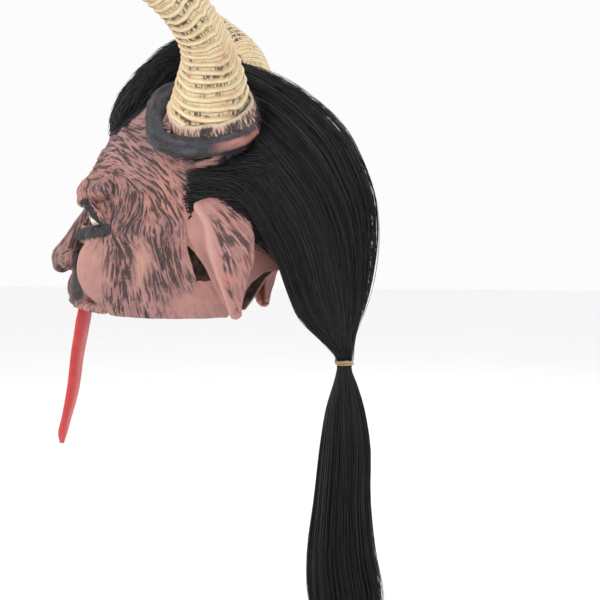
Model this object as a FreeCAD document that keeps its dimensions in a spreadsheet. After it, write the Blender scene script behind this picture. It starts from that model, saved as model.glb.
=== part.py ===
import FreeCAD, Part
import os
from FreeCAD import Placement, Rotation, Vector

# Over-the-head horned devil mask. Millimetres. The mask faces -Y, the wearer's left is +X, +Z is up.
# The origin is the centre of the neck opening at jaw level.

doc = FreeCAD.newDocument("horned_devil_mask")
sheet = doc.addObject("Spreadsheet::Sheet", "sheet")
row = 0


def param(alias, value):
    """Store one dimension in the sheet and return the name that expressions use for it."""
    global row
    row += 1
    sheet.set("A%d" % row, alias)
    sheet.set("B%d" % row, str(value))
    sheet.setAlias("B%d" % row, alias)
    return "sheet." + alias


def place(obj, centre, rotation=None):
    """Bind the position of an object to expressions and set its fixed rotation."""
    if rotation is not None:
        obj.Placement = Placement(Vector(0, 0, 0), rotation)
    for axis, text in zip("xyz", centre):
        obj.setExpression("Placement.Base." + axis, str(text))


def frame(x_dir, normal):
    """Rotation that carries local X to x_dir and local Z to normal."""
    z = Vector(*normal).normalize()
    x = Vector(*x_dir)
    x = (x - z * x.dot(z)).normalize()
    return Rotation(x, z.cross(x), z, "ZXY")


def ellipse(name, major, minor, centre, rotation):
    """One oval section; the major axis is local X."""
    obj = doc.addObject("Part::Ellipse", name)
    obj.setExpression("MajorRadius", major)
    obj.setExpression("MinorRadius", minor)
    place(obj, centre, rotation)
    return obj


def circle(name, radius, centre, rotation):
    obj = doc.addObject("Part::Circle", name)
    obj.setExpression("Radius", radius)
    place(obj, centre, rotation)
    return obj


def loft(name, sections):
    obj = doc.addObject("Part::Loft", name)
    obj.Sections = sections
    obj.Solid = True
    obj.Ruled = False
    return obj


def blob(name, radii, centre, rotation=None):
    """Ellipsoid with its half lengths along X, Y and Z."""
    obj = doc.addObject("Part::Ellipsoid", name)
    obj.Angle1, obj.Angle2, obj.Angle3 = -90, 90, 360
    obj.setExpression("Radius2", str(radii[0]))
    obj.setExpression("Radius3", str(radii[1]))
    obj.setExpression("Radius1", str(radii[2]))
    place(obj, centre, rotation)
    return obj


def ball(name, radius, centre):
    obj = doc.addObject("Part::Sphere", name)
    obj.setExpression("Radius", str(radius))
    place(obj, centre)
    return obj


def rod(name, radius, length, centre, rotation=None):
    obj = doc.addObject("Part::Cylinder", name)
    obj.setExpression("Radius", str(radius))
    obj.setExpression("Height", str(length))
    place(obj, centre, rotation)
    return obj


def block(name, size, corner, rotation=None):
    obj = doc.addObject("Part::Box", name)
    for prop, text in zip(("Length", "Width", "Height"), size):
        obj.setExpression(prop, str(text))
    place(obj, corner, rotation)
    return obj


def ring(name, major, minor, centre, rotation=None):
    obj = doc.addObject("Part::Torus", name)
    obj.setExpression("Radius1", str(major))
    obj.setExpression("Radius2", str(minor))
    place(obj, centre, rotation)
    return obj


def cut(name, base, tool):
    obj = doc.addObject("Part::Cut", name)
    obj.Base, obj.Tool = base, tool
    return obj


def fuse(name, shapes):
    obj = doc.addObject("Part::MultiFuse", name)
    obj.Shapes = shapes
    return obj


def common(name, shapes):
    obj = doc.addObject("Part::MultiCommon", name)
    obj.Shapes = shapes
    return obj


def mirror(name, source):
    """The wearer's right-hand twin of a left-hand piece."""
    obj = doc.addObject("Part::Mirroring", name)
    obj.Source = source
    obj.Base = Vector(0, 0, 0)
    obj.Normal = Vector(1, 0, 0)
    return obj


along_y = Rotation(Vector(0, 0, 1), 90)
across_x = Rotation()
barrel_y = Rotation(Vector(1, 0, 0), -90)
barrel_x = Rotation(Vector(0, 1, 0), 90)

wall = param("latex_wall", 3.5)
cloth = param("cap_cloth", 1.6)
gap = param("fit_gap", 0.3)

# Head: horizontal oval sections as height, front, back and half width.
HEAD = [
    (-14, -100, 66, 62),
    (12, -109, 80, 68),
    (45, -113, 102, 77),
    (80, -112, 122, 84),
    (120, -108, 130, 88),
    (160, -106, 132, 90),
    (195, -90, 124, 85),
    (225, -66, 104, 71),
    (247, -40, 76, 50),
    (262, -10, 44, 24),
]
head_names = []
for i, (z, front, back, half) in enumerate(HEAD):
    tag = "_%d" % i
    head_names.append((
        param("head_height" + tag, z),
        param("head_front" + tag, front),
        param("head_back" + tag, back),
        param("head_half" + tag, half),
    ))


def head_loft(name, offset):
    """Closed head volume grown by offset, or shrunk when it is negative."""
    sections = []
    last = len(head_names) - 1
    for i, (z, front, back, half) in enumerate(head_names):
        lift = offset if i == last else "0"
        major = "(%s - %s) / 2 + (%s)" % (back, front, offset)
        minor = "%s + (%s)" % (half, offset)
        centre = ("0", "(%s + %s) / 2" % (front, back), "%s + (%s)" % (z, lift))
        sections.append(ellipse("%s_section_%d" % (name, i), major, minor, centre, along_y))
    return loft(name, sections)


head_outer = head_loft("head_outer", "0")
head_inner = head_loft("head_inner", "-" + wall)
cap_outer = head_loft("cap_outer", cloth)

# Hooked nose: height, front and half width of each section, with a common back.
NOSE = [(124, -108, 8), (106, -121, 12), (90, -134, 15), (76, -146, 19), (63, -158, 22), (52, -152, 15)]
nose_back = param("nose_back", -86)


def nose_loft(name, offset, low_lift):
    sections = []
    for i, (z, front, half) in enumerate(NOSE):
        lift = low_lift if i == len(NOSE) - 1 else "0"
        major = "(%s - %s) / 2 + (%s)" % (nose_back, nose_names[i][1], offset)
        minor = "%s + (%s)" % (nose_names[i][2], offset)
        centre = ("0", "(%s + %s) / 2" % (nose_names[i][1], nose_back), "%s + (%s)" % (nose_names[i][0], lift))
        sections.append(ellipse("%s_section_%d" % (name, i), major, minor, centre, along_y))
    return loft(name, sections)


nose_names = []
for i, (z, front, half) in enumerate(NOSE):
    nose_names.append((
        param("nose_height_%d" % i, z),
        param("nose_front_%d" % i, front),
        param("nose_half_%d" % i, half),
    ))
nose_outer = nose_loft("nose_outer", "0", "0")
nose_inner = nose_loft("nose_inner", "-" + wall, wall)

# Soft masses on the face: half lengths and centre, each with a hollow inside it.
FEATURES = {
    "muzzle": ((42, 42, 36), (0, -96, 36), False),
    "cheek": ((34, 52, 46), (44, -54, 48), True),
    "brow": ((36, 30, 19), (30, -92, 137), True),
    "lids": ((24, 17, 20), (34, -90, 109), True),
}
feature_outer = []
feature_inner = []
for name, (radii, centre, paired) in FEATURES.items():
    r = [param("%s_radius_%s" % (name, a), v) for a, v in zip("xyz", radii)]
    c = [param("%s_centre_%s" % (name, a), v) for a, v in zip("xyz", centre)]
    skin = blob(name + "_outer", r, c)
    feature_outer.append(skin)
    if paired:
        feature_outer.append(mirror(name + "_outer_right", skin))
    if name == "lids":
        continue
    hollow = blob(name + "_inner", ["%s - %s" % (v, wall) for v in r], c)
    feature_inner.append(hollow)
    if paired:
        feature_inner.append(mirror(name + "_inner_right", hollow))

skin_outer = fuse("skin_outer", [head_outer, nose_outer] + feature_outer)
skin_inner = fuse("skin_inner", [head_inner, nose_inner] + feature_inner)
skin = cut("skin", skin_outer, skin_inner)

# Eye inserts sit in short tubes moulded behind the lids.
eye = [param("eye_centre_" + a, v) for a, v in zip("xyz", (34, -88, 109))]
eye_r = param("eye_radius", 18)
eye_wall = param("eye_wall", 1.8)
pupil_r = param("pupil_radius", 4.2)
socket_depth = param("socket_depth", 12)
socket_front = param("socket_front", 10)
tube = rod("socket_tube", "%s + %s + 3" % (eye_r, gap), "%s + %s" % (socket_depth, socket_front),
           (eye[0], "%s - %s" % (eye[1], socket_front), eye[2]), barrel_y)
bore = rod("socket_bore", "%s + %s" % (eye_r, gap), "%s + 30" % socket_depth, eye, barrel_y)
seat = ball("socket_seat", "%s + %s" % (eye_r, gap), eye)
slit = blob("eye_slit", (17, 30, 9), (eye[0], "%s - 18" % eye[1], eye[2]), Rotation(Vector(0, 1, 0), -8))
nostril = blob("nostril", (5.5, 9, 8), ("12", "-140", "54"))
ear_hole = rod("ear_hole", 12, 40, ("60", "8", "47"), barrel_x)

trim_low = block("trim_low", (400, 400, 60), ("-200", "-200", "-64"))
nape_slope = param("nape_slope", 37)
trim_nape = block("trim_nape", (400, 260, 120), ("-200", "25", "-10"))
trim_nape.Placement = Placement(Vector(0, 0, 0), Rotation(Vector(1, 0, 0), 37))
trim_nape.setExpression("Placement.Base.x", "-200")
trim_nape.setExpression("Placement.Base.y", "30 + 120 * sin(%s * 1 deg)" % nape_slope)
trim_nape.setExpression("Placement.Base.z", "-6 - 120 * cos(%s * 1 deg)" % nape_slope)
lip_arch = rod("lip_arch", 61, 70, ("0", "-170", "-46"), barrel_y)

one_side = fuse("openings_left", [bore, seat, slit, nostril, ear_hole])
openings = fuse("openings", [one_side, mirror("openings_right", one_side), trim_low, trim_nape, lip_arch])
skin_tubes = fuse("skin_with_sockets", [skin, tube, mirror("socket_tube_right", tube)])
face_shell = cut("face_shell", skin_tubes, openings)

# Eye insert: thin white plastic dome with a see-through pupil.
dome = cut("eye_dome", ball("eye_ball", eye_r, eye), ball("eye_hollow", "%s - %s" % (eye_r, eye_wall), eye))
eye_back = block("eye_back", (60, 40, 60), ("%s - 30" % eye[0], "%s + 1" % eye[1], "%s - 30" % eye[2]))
pupil = rod("pupil_hole", pupil_r, 40, (eye[0], "%s - 40" % eye[1], eye[2]), barrel_y)
left_eye = cut("left_eye", dome, fuse("eye_cuts", [eye_back, pupil]))

# Horn centre line and radius, from inside the scalp to the tip.
HORN = [
    (56, 23, 170, 43.5),
    (76, 33, 198, 43),
    (101, 43, 234, 38),
    (131, 45, 271, 26.5),
    (163, 30, 305, 23),
    (190, -6, 338, 21),
    (206, -50, 373, 18),
    (208, -89, 414, 12.5),
    (201, -112, 462, 4),
]
horn_skin = param("horn_skin", 2.4)
horn_names = []
for i, station in enumerate(HORN):
    keys = ("horn_x_%d", "horn_y_%d", "horn_z_%d", "horn_radius_%d")
    horn_names.append([param(key % i, value) for key, value in zip(keys, station)])


def horn_tangent(i):
    a = HORN[max(i - 1, 0)]
    b = HORN[min(i + 1, len(HORN) - 1)]
    return tuple(b[k] - a[k] for k in range(3))


def horn_loft(name, offset, tip_drop):
    """Horn volume shrunk by offset, with its last section lowered by tip_drop."""
    sections = []
    for i, (x, y, z, radius) in enumerate(horn_names):
        height = "%s - %s" % (z, tip_drop) if i == len(HORN) - 1 else z
        turn = frame((0, 1, 0), horn_tangent(i))
        size = "%s - (%s)" % (radius, offset)
        sections.append(circle("%s_section_%d" % (name, i), size, (x, y, height), turn))
    return loft(name, sections)


horn_outer = horn_loft("horn_outer", "0", "0")
horn_inner = horn_loft("horn_inner", horn_skin, "2.5")
core_full = horn_loft("core_full", "%s + %s" % (horn_skin, gap), "2.8")
horn_cut = fuse("horn_cut", [horn_inner, head_outer])
left_horn = cut("left_horn", horn_outer, horn_cut)
left_horn_core = cut("left_horn_core", core_full, head_outer)

# Rolled collar round the root of the horn.
collar_r = param("collar_radius", 51)
collar_t = param("collar_thickness", 10.5)
collar_c = [param("collar_centre_" + a, v) for a, v in zip("xyz", (76, 35, 203))]
collar_ring = ring("collar_ring", collar_r, collar_t, collar_c, frame((0, 1, 0), (0.60, -0.04, 0.80)))
left_collar = cut("left_horn_collar", collar_ring, fuse("collar_cuts", [head_outer, horn_outer]))

# Drooping ear: a cup open to the front, glued along its upper inner edge.
ear_turn = Rotation(Vector(0, 1, 0), -11)
ear_c = [param("ear_centre_" + a, v) for a, v in zip("xyz", (93, 57, 64))]
ear_body = blob("ear_body", (24, 28, 62), ear_c, ear_turn)
ear_cup = blob("ear_cup", (20, 27, 54), (ear_c[0], "%s - 12" % ear_c[1], "%s - 1" % ear_c[2]), ear_turn)
left_ear = cut("left_ear", ear_body, fuse("ear_cuts", [ear_cup, head_outer]))

# Tongue: flat oval sections that hang from a tab glued behind the upper lip.
hinge_y = param("tongue_hinge_y", -121)
hinge_z = param("tongue_hinge_z", 7)
tab_r = param("tongue_end_radius", 5.5)
TONGUE = [
    (-121, 7, 19, 5.4, (0, -0.15, -1)),
    (-125, -14, 20, 5.6, (0, -0.20, -1)),
    (-131, -44, 20, 5.5, (0, -0.16, -1)),
    (-136, -78, 18, 5.0, (0, -0.18, -1)),
    (-143, -112, 15, 4.5, (0, -0.22, -1)),
    (-149, -138, 10, 3.8, (0, -0.22, -1)),
    (-151, -148, 4, 2.0, (0, -0.22, -1)),
]
tongue_sections = []
oval_keys = ("y", "z", "half", "thick")
for i, (y, z, half, thick, normal) in enumerate(TONGUE):
    names = [param("tongue_%s_%d" % (key, i), value) for key, value in zip(oval_keys, (y, z, half, thick))]
    tongue_sections.append(ellipse("tongue_section_%d" % i, names[2], names[3], ("0", names[0], names[1]),
                                   frame((1, 0, 0), normal)))
strap = loft("tongue_strap", tongue_sections)
knuckle = rod("tongue_knuckle", "%s - 0.1" % tab_r, 30, ("-15", hinge_y, hinge_z), barrel_x)
tongue = fuse("tongue", [strap, knuckle])
tab_block = block("tab_block", (34, 20, 24), ("-17", "-128", "9"))
tab_clear = rod("tab_clear", "%s + 0.9" % tab_r, 60, ("-30", hinge_y, hinge_z), barrel_x)
tab_skin = common("tab_in_skin", [tab_block, skin_inner])
tongue_root = cut("tongue_root", tab_skin, tab_clear)

# Cloth cap under the hair: above a plane that runs from the hairline to the nape.
cap_shell = cut("cap_shell", cap_outer, head_outer)
cap_zone = block("cap_zone", (300, 320, 260), ("-150", "-79", "208"), Rotation(Vector(1, 0, 0), -40))
horns_both = fuse("horn_blocks", [horn_outer, collar_ring])
horns_right = mirror("horn_blocks_right", horns_both)
ears_both = fuse("ear_blocks", [ear_body, mirror("ear_body_right", ear_body)])
cap_cuts = fuse("cap_cuts", [horns_both, horns_right, ears_both])
scalp_cap = cut("scalp_cap", common("cap_piece", [cap_shell, cap_zone]), cap_cuts)

# Hair: solid volumes that stand for the combed bundles. Height, front, back and half width.
CROWN = [(150, 44, 190, 97), (180, 42, 178, 93), (205, 34, 163, 84), (230, 24, 137, 66),
         (253, 14, 104, 46), (273, 24, 62, 22)]
BACK = [(150, 44, 190, 97), (115, 46, 203, 98), (82, 62, 208, 94), (40, 88, 204, 82), (6, 116, 198, 60),
        (-22, 138, 192, 34), (-42, 159, 182, 12)]


def hair_loft(name, stations):
    sections = []
    for i, (z, front, back, half) in enumerate(stations):
        keys = ("height", "front", "back", "half")
        n = [param("%s_%s_%d" % (name, key, i), value) for key, value in zip(keys, (z, front, back, half))]
        sections.append(ellipse("%s_section_%d" % (name, i), n[3], "(%s - %s) / 2" % (n[2], n[1]),
                                ("0", "(%s + %s) / 2" % (n[1], n[2]), n[0]), across_x))
    return loft(name + "_loft", sections)


crown_loft = hair_loft("crown", CROWN)
back_loft = hair_loft("back", BACK)
hair_cuts = fuse("hair_cuts", [cap_outer, horns_both, horns_right])
back_cuts = fuse("back_cuts", [cap_outer, ears_both])
crown_hair = cut("crown_hair", crown_loft, hair_cuts)
back_hair = cut("back_hair", back_loft, back_cuts)

# Forelock: a roll of hair that stands up between the horns and falls over the forehead.
FORELOCK = [
    (-73, 202, 34, 10, (0, 0.45, 1)),
    (-66, 216, 45, 15, (0, 0.55, 1)),
    (-50, 238, 46, 16, (0, 0.75, 1)),
    (-31, 262, 38, 17, (0, 0.80, 1)),
    (-10, 281, 29, 18, (0, 1, 0.55)),
    (16, 284, 23, 18, (0, 1, -0.15)),
    (44, 272, 20, 16, (0, 1, -0.5)),
    (70, 256, 14, 10, (0, 1, -0.6)),
]
lock_sections = []
for i, (y, z, half, thick, normal) in enumerate(FORELOCK):
    n = [param("forelock_%s_%d" % (key, i), value) for key, value in zip(oval_keys, (y, z, half, thick))]
    turn = frame((1, 0, 0), normal)
    lock_sections.append(ellipse("forelock_section_%d" % i, n[2], n[3], ("0", n[0], n[1]), turn))
forelock = cut("forelock", loft("forelock_loft", lock_sections), fuse("forelock_cuts", [hair_cuts, crown_loft]))

# Temple lock: a flat tress that sweeps back over the ear.
TEMPLE = [(90, 4, 112, 4, 3), (92, 24, 128, 10, 6), (95, 52, 149, 14, 8), (97, 80, 170, 13, 7)]
temple_run = (0.05, 0.78, 0.60)
temple_sections = []
for i, (x, y, z, half, thick) in enumerate(TEMPLE):
    keys = ("x", "y", "z", "half", "thick")
    n = [param("temple_%s_%d" % (key, i), value) for key, value in zip(keys, (x, y, z, half, thick))]
    temple_sections.append(ellipse("temple_section_%d" % i, n[3], n[4], (n[0], n[1], n[2]),
                                   frame((0, -0.60, 0.78), temple_run)))
temple_cuts = fuse("temple_cuts", [cap_outer, ears_both, crown_loft, back_loft, horns_both])
left_temple = cut("left_temple_hair", loft("temple_loft", temple_sections), temple_cuts)

# Elastic tie and the tail below it. The tail hangs from a small ball inside the ring of the tie.
tie_y = param("tie_y", 170)
tie_z = param("tie_z", -52)
tie_r = param("tie_radius", 9)
tie_t = param("tie_thickness", 2.5)
hair_tie = ring("hair_tie", tie_r, tie_t, ("0", tie_y, tie_z))
TAIL = [(-60, 170, 4.2, 4), (-78, 171, 12, 11), (-105, 171, 20, 18), (-148, 171, 26, 23), (-204, 168, 29, 26),
        (-262, 167, 35, 29), (-313, 172, 40, 31), (-352, 173, 31, 24), (-380, 174, 16, 12)]
tail_sections = []
tail_keys = ("height", "y", "depth", "half")
for i, (z, y, depth, half) in enumerate(TAIL):
    n = [param("tail_%s_%d" % (key, i), value) for key, value in zip(tail_keys, (z, y, depth, half))]
    tail_sections.append(ellipse("tail_section_%d" % i, n[2], n[3], ("0", n[1], n[0]), along_y))
tail_neck = rod("tail_neck", 3.3, 22, ("0", tie_y, "%s - 21" % tie_z))
tail_ball = ball("tail_ball", 6.1, ("0", tie_y, tie_z))
ponytail = fuse("ponytail", [loft("tail_loft", tail_sections), tail_neck, tail_ball])

parts = {
    "face_shell": face_shell,
    "left_eye": left_eye,
    "right_eye": mirror("right_eye", left_eye),
    "left_horn": left_horn,
    "right_horn": mirror("right_horn", left_horn),
    "left_horn_core": left_horn_core,
    "right_horn_core": mirror("right_horn_core", left_horn_core),
    "left_horn_collar": left_collar,
    "right_horn_collar": mirror("right_horn_collar", left_collar),
    "left_ear": left_ear,
    "right_ear": mirror("right_ear", left_ear),
    "tongue_root": tongue_root,
    "tongue": tongue,
    "scalp_cap": scalp_cap,
    "crown_hair": crown_hair,
    "back_hair": back_hair,
    "forelock": forelock,
    "left_temple_hair": left_temple,
    "right_temple_hair": mirror("right_temple_hair", left_temple),
    "hair_tie": hair_tie,
    "ponytail": ponytail,
}

doc.recompute()
faults = []
for obj in doc.Objects:
    if "Invalid" in obj.State or "Error" in obj.State:
        faults.append(obj.Name + " " + ",".join(obj.State))
for name, obj in parts.items():
    if obj.Shape.isNull() or not obj.Shape.isValid():
        faults.append(name + " has no valid shape")
    elif len(obj.Shape.Solids) != 1:
        FreeCAD.Console.PrintMessage("%s has %d solids\n" % (name, len(obj.Shape.Solids)))
if faults:
    raise RuntimeError("; ".join(faults))

os.makedirs("parts", exist_ok=True)
for name, obj in parts.items():
    obj.Label = name
    obj.Shape.exportStep(os.path.join("parts", name + ".step"))
    box = obj.Shape.BoundBox
    print("%-20s volume %9.0f  size %6.1f %6.1f %6.1f  solids %d" % (
        name, obj.Shape.Volume, box.XLength, box.YLength, box.ZLength, len(obj.Shape.Solids)))
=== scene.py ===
import math
from itertools import product

import bpy
import numpy as np
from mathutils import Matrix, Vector


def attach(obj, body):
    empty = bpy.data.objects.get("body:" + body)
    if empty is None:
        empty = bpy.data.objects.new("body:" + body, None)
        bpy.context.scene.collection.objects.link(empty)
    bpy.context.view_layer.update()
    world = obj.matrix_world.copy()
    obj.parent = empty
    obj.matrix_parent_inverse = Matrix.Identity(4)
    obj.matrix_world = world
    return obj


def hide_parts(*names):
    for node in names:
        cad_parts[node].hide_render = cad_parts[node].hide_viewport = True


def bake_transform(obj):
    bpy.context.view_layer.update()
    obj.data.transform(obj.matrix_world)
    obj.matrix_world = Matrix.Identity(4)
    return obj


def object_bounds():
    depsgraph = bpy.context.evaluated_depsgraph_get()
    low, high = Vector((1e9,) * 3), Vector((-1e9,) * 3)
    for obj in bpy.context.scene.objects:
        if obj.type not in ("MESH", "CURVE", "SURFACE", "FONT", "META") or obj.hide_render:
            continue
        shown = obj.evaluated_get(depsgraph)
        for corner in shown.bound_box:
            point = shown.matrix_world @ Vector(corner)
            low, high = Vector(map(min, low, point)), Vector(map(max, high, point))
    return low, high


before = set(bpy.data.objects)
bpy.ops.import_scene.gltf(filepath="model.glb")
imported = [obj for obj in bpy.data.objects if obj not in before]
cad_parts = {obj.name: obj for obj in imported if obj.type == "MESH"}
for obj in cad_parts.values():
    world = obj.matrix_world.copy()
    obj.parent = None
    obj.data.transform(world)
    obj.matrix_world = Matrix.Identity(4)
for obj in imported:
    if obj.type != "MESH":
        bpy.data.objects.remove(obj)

# Looks for the horned devil mask. Shapes are worked out in millimetres in the row frame:
# the face looks along -Y, the wearer's left is +X and +Z is up. MM turns them into metres.
MM = 0.001
cad_low, cad_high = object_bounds()
rng = np.random.default_rng(11)


# ---------------------------------------------------------------- numbers and noise

def srgb(red, green, blue):
    """Linear colour from 0-255 screen values."""
    c = np.array([red, green, blue], float) / 255
    return np.where(c <= 0.04045, c / 12.92, ((c + 0.055) / 1.055) ** 2.4)


def step(low, high, x):
    """Smooth ramp from 0 at low to 1 at high."""
    t = np.clip((x - low) / (high - low), 0, 1)
    return t * t * (3 - 2 * t)


def unit(v):
    return v / np.maximum(np.linalg.norm(v, axis=-1, keepdims=True), 1e-9)


def lattice(i, j, k, seed):
    """A fixed pseudo-random value in -1..1 for each whole-number point."""
    n = (i * 374761393 + j * 668265263 + k * 1103515245 + seed * 1274126177) & 0xFFFFFFFF
    n = ((n ^ (n >> 13)) * 1274126177) & 0xFFFFFFFF
    n = ((n ^ (n >> 16)) * 2246822519) & 0xFFFFFFFF
    return (n ^ (n >> 15)) / 2147483647.5 - 1


def noise(points, seed=0):
    """Smooth value noise in -1..1; one unit is one cell."""
    p = np.asarray(points, float)
    base = np.floor(p)
    t = p - base
    t = t * t * (3 - 2 * t)
    i, j, k = base.astype(np.int64).T
    total = np.zeros(len(p))
    for a, b, c in product((0, 1), repeat=3):
        w = np.abs(1 - a - t[:, 0]) * np.abs(1 - b - t[:, 1]) * np.abs(1 - c - t[:, 2])
        total += w * lattice(i + a, j + b, k + c, seed)
    return total


def streaks(points, direction, width, length, seed, samples=11):
    """Noise smeared along direction, so that it makes lines of that width and length."""
    total = np.zeros(len(points))
    weights = 0
    for s in np.linspace(-1, 1, samples):
        w = 1 - 0.6 * abs(s)
        total += w * noise((points + direction * (s * length / 2)) / width, seed)
        weights += w
    return total / weights * math.sqrt(samples) * 0.62


def spline(points, count):
    """Catmull-Rom curve through points, sampled at count even parameters."""
    p = np.asarray(points, float)
    padded = np.vstack([2 * p[0] - p[1], p, 2 * p[-1] - p[-2]])
    u = np.linspace(0, len(p) - 1, count)
    i = np.minimum(u.astype(int), len(p) - 2)
    t = (u - i)[:, None]
    a, b, c, d = (padded[i + n] for n in range(4))
    bend = (2 * a - 5 * b + 4 * c - d) * t ** 2
    return 0.5 * (2 * b + (c - a) * t + bend + (3 * b - a - 3 * c + d) * t ** 3)


def frames(path, hint):
    """Side and top directions carried along a path without twist."""
    tangent = unit(np.gradient(path, axis=0))
    side = np.zeros_like(path)
    current = np.asarray(hint, float)
    for n, along in enumerate(tangent):
        current = current - along * np.dot(current, along)
        current = current / np.linalg.norm(current)
        side[n] = current
    return side, np.cross(tangent, side)


# ---------------------------------------------------------------- meshes

def build(name, points, faces, material, colours=None, values=None):
    """Mesh object from points in millimetres and index arrays of triangles or quads."""
    mesh = bpy.data.meshes.new(name)
    mesh.vertices.add(len(points))
    mesh.vertices.foreach_set("co", (np.asarray(points) * MM).astype(np.float32).ravel())
    loops = np.concatenate([f.ravel() for f in faces]).astype(np.int32)
    sizes = np.concatenate([np.full(len(f), f.shape[1]) for f in faces])
    starts = np.concatenate([[0], np.cumsum(sizes)[:-1]]).astype(np.int32)
    mesh.loops.add(len(loops))
    mesh.loops.foreach_set("vertex_index", loops)
    mesh.polygons.add(len(sizes))
    mesh.polygons.foreach_set("loop_start", starts)
    mesh.update(calc_edges=True)
    mesh.validate()
    mesh.shade_smooth()
    if colours is not None:
        layer = mesh.attributes.new("paint", "FLOAT_COLOR", "POINT")
        rgba = np.hstack([np.clip(colours, 0, 1), np.ones((len(colours), 1))])
        layer.data.foreach_set("color", rgba.astype(np.float32).ravel())
    for key, value in (values or {}).items():
        if value.ndim == 2:
            mesh.attributes.new(key, "FLOAT_VECTOR", "POINT").data.foreach_set(
                "vector", value.astype(np.float32).ravel())
        else:
            mesh.attributes.new(key, "FLOAT", "POINT").data.foreach_set("value", value.astype(np.float32))
    obj = bpy.data.objects.new(name, mesh)
    bpy.context.scene.collection.objects.link(obj)
    mesh.materials.append(material)
    return obj


def grid_quads(rows, columns, wrap=False):
    """Quads of a grid of rows by columns points; wrap joins the last column to the first."""
    r = np.arange(rows - 1)[:, None]
    c = np.arange(columns if wrap else columns - 1)[None, :]
    n = (c + 1) % columns
    quads = np.stack([r * columns + c, r * columns + n, (r + 1) * columns + n, (r + 1) * columns + c], -1)
    return quads.reshape(-1, 4)


def closed_tube(rings):
    """Points and faces of a tube of rings (rows, columns, 3), closed by a point at each end."""
    rows, columns = rings.shape[:2]
    points = np.vstack([rings.reshape(-1, 3), rings[0].mean(0), rings[-1].mean(0)])
    a = np.arange(columns)
    b = (a + 1) % columns
    first, last = rows * columns, rows * columns + 1
    top = (rows - 1) * columns
    caps = np.vstack([np.stack([b, a, np.full(columns, first)], 1),
                      np.stack([top + a, top + b, np.full(columns, last)], 1)])
    return points, [grid_quads(rows, columns, wrap=True), caps]


def strands(name, paths, radius, material):
    """Hair strands: one thin closed prism along each path (strand, step, 3)."""
    count, steps = paths.shape[:2]
    along = unit(np.gradient(paths, axis=1))
    hint = unit(rng.normal(size=(count, 1, 3)))
    side = unit(np.cross(along, hint))
    top = np.cross(along, side)
    taper = np.sin(np.linspace(0.28, 1.0, steps) * np.pi) ** 0.5
    taper[-1] = 0.15
    r = np.broadcast_to(np.asarray(radius), (count,))[:, None] * taper[None, :]
    corners = []
    for turn in (0, 2 * np.pi / 3, 4 * np.pi / 3):
        corners.append(paths + (side * math.cos(turn) + top * math.sin(turn)) * r[..., None])
    points = np.stack(corners, 2).reshape(-1, 3)
    block = steps * 3
    quads = grid_quads(steps, 3, wrap=True)
    ends = np.array([[0, 2, 1], [block - 3, block - 2, block - 1]])
    offset = (np.arange(count) * block)[:, None, None]
    shade = np.repeat(rng.random(count), block)
    return build(name, points, [(quads[None] + offset).reshape(-1, 4), (ends[None] + offset).reshape(-1, 3)],
                 material, values={"shade": shade})


# ---------------------------------------------------------------- materials

class Nodes:
    """Short way to write a node material."""

    def __init__(self, name):
        self.material = bpy.data.materials.new(name)
        self.material.use_nodes = True
        self.tree = self.material.node_tree
        self.shader = self.tree.nodes["Principled BSDF"]

    def add(self, kind, inputs=None, **settings):
        node = self.tree.nodes.new(kind)
        for key, value in settings.items():
            setattr(node, key, value)
        for key, value in (inputs or {}).items():
            if isinstance(value, bpy.types.NodeSocket):
                self.tree.links.new(value, node.inputs[key])
            else:
                node.inputs[key].default_value = value
        return node

    def attribute(self, name, output="Fac"):
        return self.add("ShaderNodeAttribute", attribute_name=name).outputs[output]

    def position(self):
        return self.add("ShaderNodeNewGeometry").outputs["Position"]

    def math(self, operation, a, b=0.0, clamp=False):
        node = self.add("ShaderNodeMath", {0: a, 1: b}, operation=operation)
        node.use_clamp = clamp
        return node.outputs[0]

    def stretch(self, vector, scale):
        return self.add("ShaderNodeVectorMath", {0: vector, 1: scale}, operation="MULTIPLY").outputs[0]

    def noise(self, vector, scale, detail=3.0, rough=0.55, distortion=0.0):
        node = self.add("ShaderNodeTexNoise", {"Vector": vector, "Scale": scale, "Detail": detail,
                                               "Roughness": rough, "Distortion": distortion})
        return node.outputs["Fac"]

    def ramp(self, value, low, high, out_low=0.0, out_high=1.0):
        node = self.add("ShaderNodeMapRange", {"Value": value, "From Min": low, "From Max": high,
                                               "To Min": out_low, "To Max": out_high},
                        interpolation_type="SMOOTHSTEP")
        return node.outputs["Result"]

    def mix(self, factor, a, b, blend="MIX"):
        node = self.add("ShaderNodeMix", data_type="RGBA", blend_type=blend)
        for index, value in ((0, factor), (6, a), (7, b)):
            if isinstance(value, bpy.types.NodeSocket):
                self.tree.links.new(value, node.inputs[index])
            elif index == 0:
                node.inputs[index].default_value = value
            else:
                node.inputs[index].default_value = (*value, 1.0)
        return node.outputs[2]

    def bump(self, height, distance, strength=1.0, under=None):
        inputs = {"Height": height, "Distance": distance, "Strength": strength}
        if under is not None:
            inputs["Normal"] = under
        return self.add("ShaderNodeBump", inputs).outputs["Normal"]

    def finish(self, colour, roughness, normal=None, **sockets):
        for key, value in (("Base Color", colour), ("Roughness", roughness), ("Normal", normal)):
            if isinstance(value, bpy.types.NodeSocket):
                self.tree.links.new(value, self.shader.inputs[key])
            elif value is not None and key == "Base Color":
                self.shader.inputs[key].default_value = (*value, 1.0)
            elif value is not None:
                self.shader.inputs[key].default_value = value
        for key, value in sockets.items():
            self.shader.inputs[key.replace("_", " ")].default_value = value
        return self.material


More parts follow.
